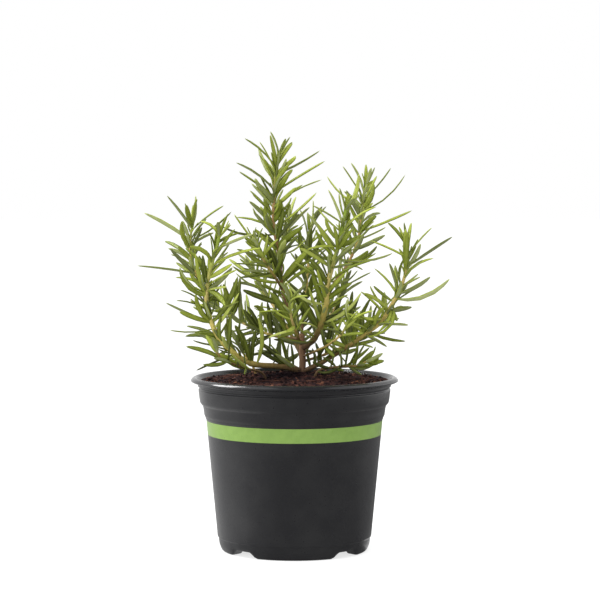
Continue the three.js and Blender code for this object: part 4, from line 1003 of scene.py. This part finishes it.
# What each corner of the leaf lies on: the groove above, the felt below, and the rolled rim.
on_midline = (np.abs(leaf_across) < 0.02) & (leaf_share < 0.99)
widths = np.interp(leaf_share, *np.array(LEAF_RINGS).T[:2])
LEAF_MARKS = {
    "groove": (on_midline & (leaf_up > 0)) * 1.0,
    "felt": np.where(on_midline & (leaf_up < 0), 1.0, np.where(leaf_up < -0.15, 0.6, 0.0)),
    "rim": (np.abs(leaf_across) > 0.45 * widths) * 1.0,
    "reach": leaf_share,
}


def leaf_from(stem, share, tip, rise, width):
    """A leaf's foot, bend and tip. Its upper face looks towards the tip of the stem."""
    foot, along = stem.point(share), stem.along(share)
    chord = tip - foot
    length = np.linalg.norm(chord)
    chord = chord / length
    face = unit(along - chord * (along @ chord))
    bend = foot + (tip - foot) * BEND_AT + face * 2 * rise
    return {"foot": foot, "bend": bend, "tip": tip, "face": face, "width": width,
            "length": length, "share": share}


def inner_leaf(stem, share, middle_x, middle_z, x, y, z, width, tone, shows="top"):
    """A listed leaf, with its top or its felted side turned to the front."""
    foot, tip = stem.point(share), np.array((x, y, z), float)
    middle = np.array([middle_x, (foot[1] + tip[1]) / 2, middle_z])
    face = stem.along(share) * 0.5 + [0, -1 if shows == "top" else 1, 0]
    chord = unit(tip - foot)
    return {"foot": foot, "bend": 2 * middle - (foot + tip) / 2, "tip": tip, "width": width,
            "face": unit(face - chord * (chord @ face)), "tone": tone, "share": share,
            "length": np.linalg.norm(middle - foot) + np.linalg.norm(tip - middle)}


def leaf_line(leaf, share):
    share = np.asarray(share, float)[..., None]
    return ((1 - share) ** 2 * leaf["foot"] + 2 * share * (1 - share) * leaf["bend"]
            + share**2 * leaf["tip"])


def bent_leaf(leaf, roll, twist, sway):
    """The modelled leaf laid along one leaf's line."""
    foot, bend, tip = leaf["foot"], leaf["bend"], leaf["tip"]
    share = leaf_share[:, None]
    along = 2 * (1 - share) * (bend - foot) + 2 * share * (tip - bend)
    along /= np.linalg.norm(along, axis=1, keepdims=True)
    face = leaf["face"] - along * (along @ leaf["face"])[:, None]
    face /= np.linalg.norm(face, axis=1, keepdims=True)
    side = np.cross(face, along)
    turn = roll + twist * share
    across = side * np.cos(turn) + face * np.sin(turn)
    up = face * np.cos(turn) - side * np.sin(turn)
    thick = LEAF_THICKNESS * min(1, leaf["width"] / THINNER_BELOW)
    return (leaf_line(leaf, leaf_share * LEAF_END) - across * leaf_across[:, None] * leaf["width"]
            + up * leaf_up[:, None] * thick + side * sway * np.sin(math.pi * share))


class Room:
    """The straight stretches of all stems and leaves so far, so that shoots stay clear."""

    SIZE = 20000

    def __init__(self):
        self.used = 0
        self.start, self.step, self.side, self.face = np.zeros((4, self.SIZE, 3))
        self.radius, self.owner, self.half = np.zeros((3, self.SIZE))
        self.tuft = np.zeros(self.SIZE, bool)

    def add(self, owner, start, end, side, face, tuft, radius=0):
        i = self.used
        self.start[i], self.step[i], self.side[i], self.face[i] = start, end - start, side, face
        self.radius[i], self.tuft[i], self.owner[i] = radius, tuft, owner
        self.half[i] = np.linalg.norm(end - start) / 2
        self.used += 1

    def is_free(self, owner, start, end, side, face, tuft, crowding):
        n = self.used
        u = end - start
        apart = np.linalg.norm(self.start[:n] + self.step[:n] / 2 - start - u / 2, axis=1)
        n = np.flatnonzero(apart < self.half[:n] + np.linalg.norm(u) / 2 + FAR_APART)
        v, w = self.step[n], start - self.start[n]
        uu, uv, vv = u @ u, v @ u, np.einsum("ij,ij->i", v, v)
        uw, vw = w @ u, np.einsum("ij,ij->i", v, w)
        spread = uu * vv - uv * uv
        flat = spread <= TINY
        s = np.where(flat, 0, np.clip((uv * vw - vv * uw) / np.where(flat, 1, spread), 0, 1))
        t = np.clip((uv * s + vw) / vv, 0, 1)
        s = np.clip((uv * t - uw) / uu, 0, 1)
        gap = w + u * s[:, None] - v * t[:, None]
        distance = np.linalg.norm(gap, axis=1)
        gap /= np.maximum(distance, TINY)[:, None]
        mine = np.abs(gap @ side) + np.abs(gap @ face)
        other = (np.abs(np.einsum("ij,ij->i", gap, self.side[n]))
                 + np.abs(np.einsum("ij,ij->i", gap, self.face[n])) + self.radius[n])
        own = self.owner[n] == owner
        spared = own & (tuft | self.tuft[n] | (self.radius[n] > 0))
        reach = (mine + other + LEAF_CLEARANCE) * crowding
        return bool(np.all(spared | (distance > FAR_APART) | (distance > reach)))


room = Room()


def stretches(leaf):
    """A leaf as three straight stretches. The first lies in the tuft at its foot."""
    start = min(0.9, TUFT / leaf["length"])
    ends = leaf_line(leaf, [0, start, (1 + start) / 2, 1])
    for i in range(3):
        along = unit(ends[i + 1] - ends[i])
        face = unit(leaf["face"] - along * (along @ leaf["face"]))
        side = np.cross(face, along)
        yield (ends[i], ends[i + 1], side * leaf["width"] / 2, face * LEAF_THICKNESS * 0.6, i == 0)


def take(stem, leaf, parts):
    for part in parts:
        room.add(stem.number, *part)
    stem.leaves.append(leaf)


def settle(stem, places, crowding=1):
    """The first of a leaf's possible places that is clear of its neighbours is taken."""
    for leaf in places:
        parts = list(stretches(leaf))
        if min(min(start[2], end[2]) for start, end, *_ in parts) < LEAF_FLOOR:
            continue
        if all(room.is_free(stem.number, *part, crowding) for part in parts):
            take(stem, leaf, parts)
            return


def stem_stretches(stem):
    steps = max(5, int(stem.length / STRETCH + 0.5))
    for i in range(steps):
        near, far = i / steps, (i + 1) / steps
        radius = max(stem.radius(near), stem.radius(far))
        room.add(stem.number, stem.point(near), stem.point(far), 0, 0, False, radius)


def seeded(seed):
    """Numbers from 0 to 1 that are the same each time for one seed."""
    state, full = seed, 0xFFFFFFFF
    while True:
        state = (state + 0x6D2B79F5) & full
        mixed = ((state ^ (state >> 15)) * (state | 1)) & full
        mixed ^= (mixed + (((mixed ^ (mixed >> 7)) * (mixed | 61)) & full)) & full
        yield ((mixed ^ (mixed >> 14)) & full) / 4294967296


def between(low, high, share):
    return low + (high - low) * share


def leaf_out(stem, share, turn, spread, length, rise, width):
    """A leaf that leaves its stem at an angle, turned round the stem, and lifts a little."""
    along = stem.along(share)
    right = unit(np.array([along[2], 0, -along[0]]))
    back = -np.cross(right, along)
    out = right * math.cos(turn) + back * math.sin(turn)
    way = along * math.cos(spread) + out * math.sin(spread) + [0, 0, LIFT]
    return leaf_from(stem, share, stem.point(share) + unit(way) * length, rise, width)


# The other places a leaf tries: leaning back or forward, swung round its stem, or cut shorter.
LEANS = (0, 3, -3, 6, -6, 9, -9, 13, -13)
SWINGS, CUTS = (0, 0.25, -0.25, 0.5, -0.5, 0.75, -0.75), (1, 0.8)
FILL_SWINGS, FILL_CUTS = (0, 0.5, -0.5), (1, 0.75)


def leaves_round(stem, share, turn, spread, length, rise, width, swings, cuts):
    """One leaf in each of the places it may take round its stem."""
    return [leaf_out(stem, share, turn + swing, spread, length * cut, rise * cut, width)
            for swing in swings for cut in cuts]


def placed_leaves(stem):
    """The long outer leaves, which lean back or forward where their own place is taken."""
    for share, x, y, z, rise in stem.placed:
        settle(stem, [leaf_from(stem, share, np.array([x, y + lean, z], float), rise, LEAF_WIDTH)
                      for lean in LEANS])


# Leaves are shorter from this share of the leafy stem on, over the rest of it, down to a share
# of their length at its tip.
YOUNG_FROM, YOUNG_OVER, YOUNGEST = 0.7, 0.3, 0.6


def paired_leaves(stem, seed):
    """Pairs of leaves up the stem: long and spread below, short and steep at the tip."""
    draw = seeded(seed)
    for i in range(stem.pairs):
        climb = (i + 0.5) / stem.pairs
        share = between(stem.leafless, 1, climb**0.85)
        quarter = (i % 2) * math.pi / 2 + between(-0.4, 0.4, next(draw))
        young = 1
        if climb > YOUNG_FROM:
            young = between(1, YOUNGEST, (climb - YOUNG_FROM) / YOUNG_OVER)
        for half in (0, math.pi):
            turn = quarter + half + between(-0.25, 0.25, next(draw))
            spread = between(1.15, 0.5, climb) + between(-0.15, 0.15, next(draw))
            length = stem.reach * young * between(0.75, 1.1, next(draw))
            rise = length * between(-0.03, 0.08, next(draw))
            settle(stem, leaves_round(stem, share, turn, spread, length, rise, LEAF_WIDTH,
                                      SWINGS, CUTS))


# The shoots that get few small leaves, and those that get none: low ones and short ones in
# front, which would hide the rest.
THIN = {"leader_front", "left_outer"}
SPARSE = {"front_low", "front_right", "low_right", "low_front_left", "low_left", "low_back_left",
          "low_back_right"}
FILL_STEP, THIN_STEP = 3.4, 6  # how far apart small leaves are along a stem
JOINT_STEP, CROWN_LEAVES = 8, 5
LOW, HIGH = 105, 235  # heights of the lowest and the highest leaves


def height_share(place):
    return min(1, max(0, (place[2] - LOW) / (HIGH - LOW)))


def crown(stem, random):
    """The steep young leaves round the tip of a shoot."""
    for _ in range(CROWN_LEAVES):
        length = random.uniform(8, 15)
        settle(stem, [leaf_out(stem, random.uniform(0.93, 1), random.uniform(0, 2 * math.pi),
                               random.uniform(0.12, 0.5), length,
                               length * random.uniform(0, 0.1), random.uniform(1.6, 2.3))
                      for _ in range(3)], CROWDED)


def filling_leaves(stem, random):
    """More leaves up the stem, on its sides and back, so that its front stays in sight."""
    bare = stem.leafless * 0.7
    step = THIN_STEP if stem.name in THIN else FILL_STEP
    count = int(stem.length * (1 - bare) / step)
    for i in range(count):
        climb = (i + random.uniform()) / count
        share = between(bare, 1, climb)
        height = height_share(stem.point(share))
        turn = random.uniform(-0.3, math.pi + 0.3)
        spread = between(1.1, 0.5, climb) + random.uniform(-0.2, 0.2)
        spread *= 1 - 0.35 * height * abs(math.cos(turn))
        length = between(24, 19, height) * random.uniform(0.65, 1.1)
        rise = length * random.uniform(-0.1, 0.14)
        width = random.uniform(2.1, between(3.2, 2.6, height))
        settle(stem, leaves_round(stem, share, turn, spread, length, rise, width,
                                  FILL_SWINGS, FILL_CUTS), CROWDED)


def tufts(stem, random):
    """Young leaves in the axils: small, narrow and steep, one or two to each side of a joint."""
    bare = stem.leafless * 0.8
    joints = int(stem.length * (1 - bare) / JOINT_STEP)
    for i in range(joints):
        climb = (i + random.uniform(0.3, 0.7)) / joints
        share = between(bare, 1, climb)
        quarter = (i % 2) * math.pi / 2 + random.uniform(-0.4, 0.4)
        for half in (0, math.pi):
            for _ in range(random.integers(1, 3)):
                turn = quarter + half + random.uniform(-0.6, 0.6)
                length = random.uniform(6, 12)
                settle(stem, [leaf_out(stem, share, turn, random.uniform(0.25, 0.7), length,
                                       length * random.uniform(-0.06, 0.06),
                                       random.uniform(1.4, 2.1))], CROWDED)


for stem in (trunk_line, *shoots):
    stem_stretches(stem)
for stem in shoots:
    placed_leaves(stem)
for stem in shoots:
    paired_leaves(stem, SEED + stem.number - 1)
for stem in shoots:
    for place in INNER_LEAVES.get(stem.name, []):
        leaf = inner_leaf(stem, *place)
        take(stem, leaf, stretches(leaf))
for stem in shoots:
    if stem.name not in SPARSE:
        random = np.random.default_rng(SEED + stem.number)
        crown(stem, random)
        filling_leaves(stem, random)
        tufts(stem, random)

UPPER_TONES = [(0.0, srgb(54, 60, 26)), (0.3, srgb(105, 117, 34)), (0.65, srgb(150, 161, 63)),
               (1.0, srgb(178, 186, 108))]
FELT_TONES = [(0.0, srgb(84, 90, 54)), (0.5, srgb(138, 146, 98)), (1.0, srgb(176, 182, 134))]
RIM_SHADE_GREEN, MIDRIB_GREEN, FOOT_GREEN = srgb(52, 66, 24), srgb(164, 174, 96), srgb(158, 162, 90)


def leaf_skin():
    """Olive above, felted grey-green below, with painted shade on the rolled rims. Each leaf has a
    tone of its own, which also holds painted light and shade.
    """
    material, tree, shader = new_material("rosemary_leaf_skin", 0.5, 0.22)
    place, tone = object_place(tree), mark(tree, "tone")
    # Painted shade: the rolled rims, which turn down away from the light, are darker.
    rim = ramp(tree, mark(tree, "rim"), [(0.45, 0.0), (1.0, 0.6)])
    midrib = ramp(tree, mark(tree, "groove"), [(0.55, 0.0), (0.95, 0.3)])
    upper = blended(tree, rim, ramp(tree, tone, UPPER_TONES), RIM_SHADE_GREEN)
    upper = blended(tree, midrib, upper, MIDRIB_GREEN)
    below = ramp(tree, mark(tree, "felt"), [(0.5, 0.0), (0.8, 1.0)])
    colour = blended(tree, below, upper, ramp(tree, tone, FELT_TONES))
    foot = ramp(tree, mark(tree, "reach"), [(0.0, 0.5), (0.14, 0.0)])
    colour = blended(tree, foot, colour, FOOT_GREEN)
    mottle = ramp(tree, noise_of(tree, place, 260, 2), [(0.3, 0.84), (0.65, 1.0)])
    colour = blended(tree, 1.0, colour, mottle, "MULTIPLY")
    tree.links.new(colour, shader.inputs["Base Color"])
    gloss = ramp(tree, below, [(0.0, 0.45), (1.0, 0.8)])
    tree.links.new(gloss, shader.inputs["Roughness"])
    relief(tree, shader, noise_of(tree, place, 700, 2), 0.05)
    return material


# A leaf's tone without a given one: where it starts, what its height, its distance from the
# plant's middle and its place on the shoot add, and how far chance moves it.
# Height and distance from the plant's middle add painted light: the top and outside of the plant
# are lit, and its inside is in shade.
TONE_START, PAINTED_LIGHT_HEIGHT, PAINTED_LIGHT_OUTSIDE, TONE_SHARE = 0.23, 0.05, 0.03, 0.12
TONE_CHANCE = (-0.2, 0.35)
OUTSIDE_FROM = 75
SHADED, SHADE_FADES = 0.4, 3  # painted shade: the lowest leaves keep this share of their tone, and how fast it rises
BRIGHTEST = 0.85


def tone_of(leaf, random):
    """Painted light and shade: leaves are dark low down inside the plant and bright on its outside
    and top. They are also a little brighter towards the young tips of their shoots, and differ
    at random.
    """
    height = height_share(leaf["foot"])
    outside = min(1, math.hypot(leaf["tip"][0], leaf["tip"][1]) / OUTSIDE_FROM)
    tone = (TONE_START + PAINTED_LIGHT_HEIGHT * height + PAINTED_LIGHT_OUTSIDE * outside
            + TONE_SHARE * leaf["share"])
    tone = (tone + random.uniform(*TONE_CHANCE)) * min(1, SHADED + SHADE_FADES * height)
    return leaf.get("tone", min(BRIGHTEST, max(0, tone)))


HAND_PLACED_FREEDOM = 0.2  # how freely a listed leaf strays from its line
ROLL, TWIST, SWAY, BOW = 0.9, 0.6, 0.07, 0.12  # how far chance moves a leaf either way
WIDTH_CHANCE = (0.88, 1.12)
LOW_WIDTH, HIGH_WIDTH = 1.02, 0.92  # leaves are narrower at the top of the plant


def straying(leaf, random):
    """The corners of a leaf that strays a little from its line."""
    by_hand = "tone" in leaf
    free = HAND_PLACED_FREEDOM if by_hand else 1
    roll, twist = free * random.uniform(-ROLL, ROLL), random.uniform(-TWIST, TWIST)
    sway = free * leaf["length"] * random.uniform(-SWAY, SWAY)
    bow = free * leaf["length"] * random.uniform(-BOW, BOW)
    leaf["bend"] = leaf["bend"] + leaf["face"] * bow
    slim = 1 if by_hand else between(LOW_WIDTH, HIGH_WIDTH, height_share(leaf["foot"]))
    leaf["width"] *= slim * random.uniform(*WIDTH_CHANCE)
    return bent_leaf(leaf, roll, twist, sway)


leaf_paint = leaf_skin()
for shoot in shoots:
    label, name, leaves = shoot.name, "shoot_" + shoot.name, shoot.leaves
    joints = sorted({leaf["share"] for leaf in leaves})
    stem = grow("stem_" + label, shoot, STEM_BEVEL, joints, STEM_BARK,
                REDNESS.get(label, HALF_RED), AGE.get(label, 1), STOUT.get(label, SLIM))
    stem.data.materials.append(young_bark)
    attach(stem, "root")
    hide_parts(name)
    random = np.random.default_rng(SEED * 2 + shoot.number)
    shapes, tones = [], []
    for leaf in leaves:
        shapes.append(straying(leaf, random))
        tones.append(np.full(len(leaf_model), tone_of(leaf, random)))
    marks = {key: [values] * len(leaves) for key, values in LEAF_MARKS.items()}
    foliage = copies("leaves_" + label, leaf_faces, shapes, {**marks, "tone": tones})
    foliage.data.materials.append(leaf_paint)
    foliage.data.shade_smooth()
    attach(foliage, "root")
    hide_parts(name)
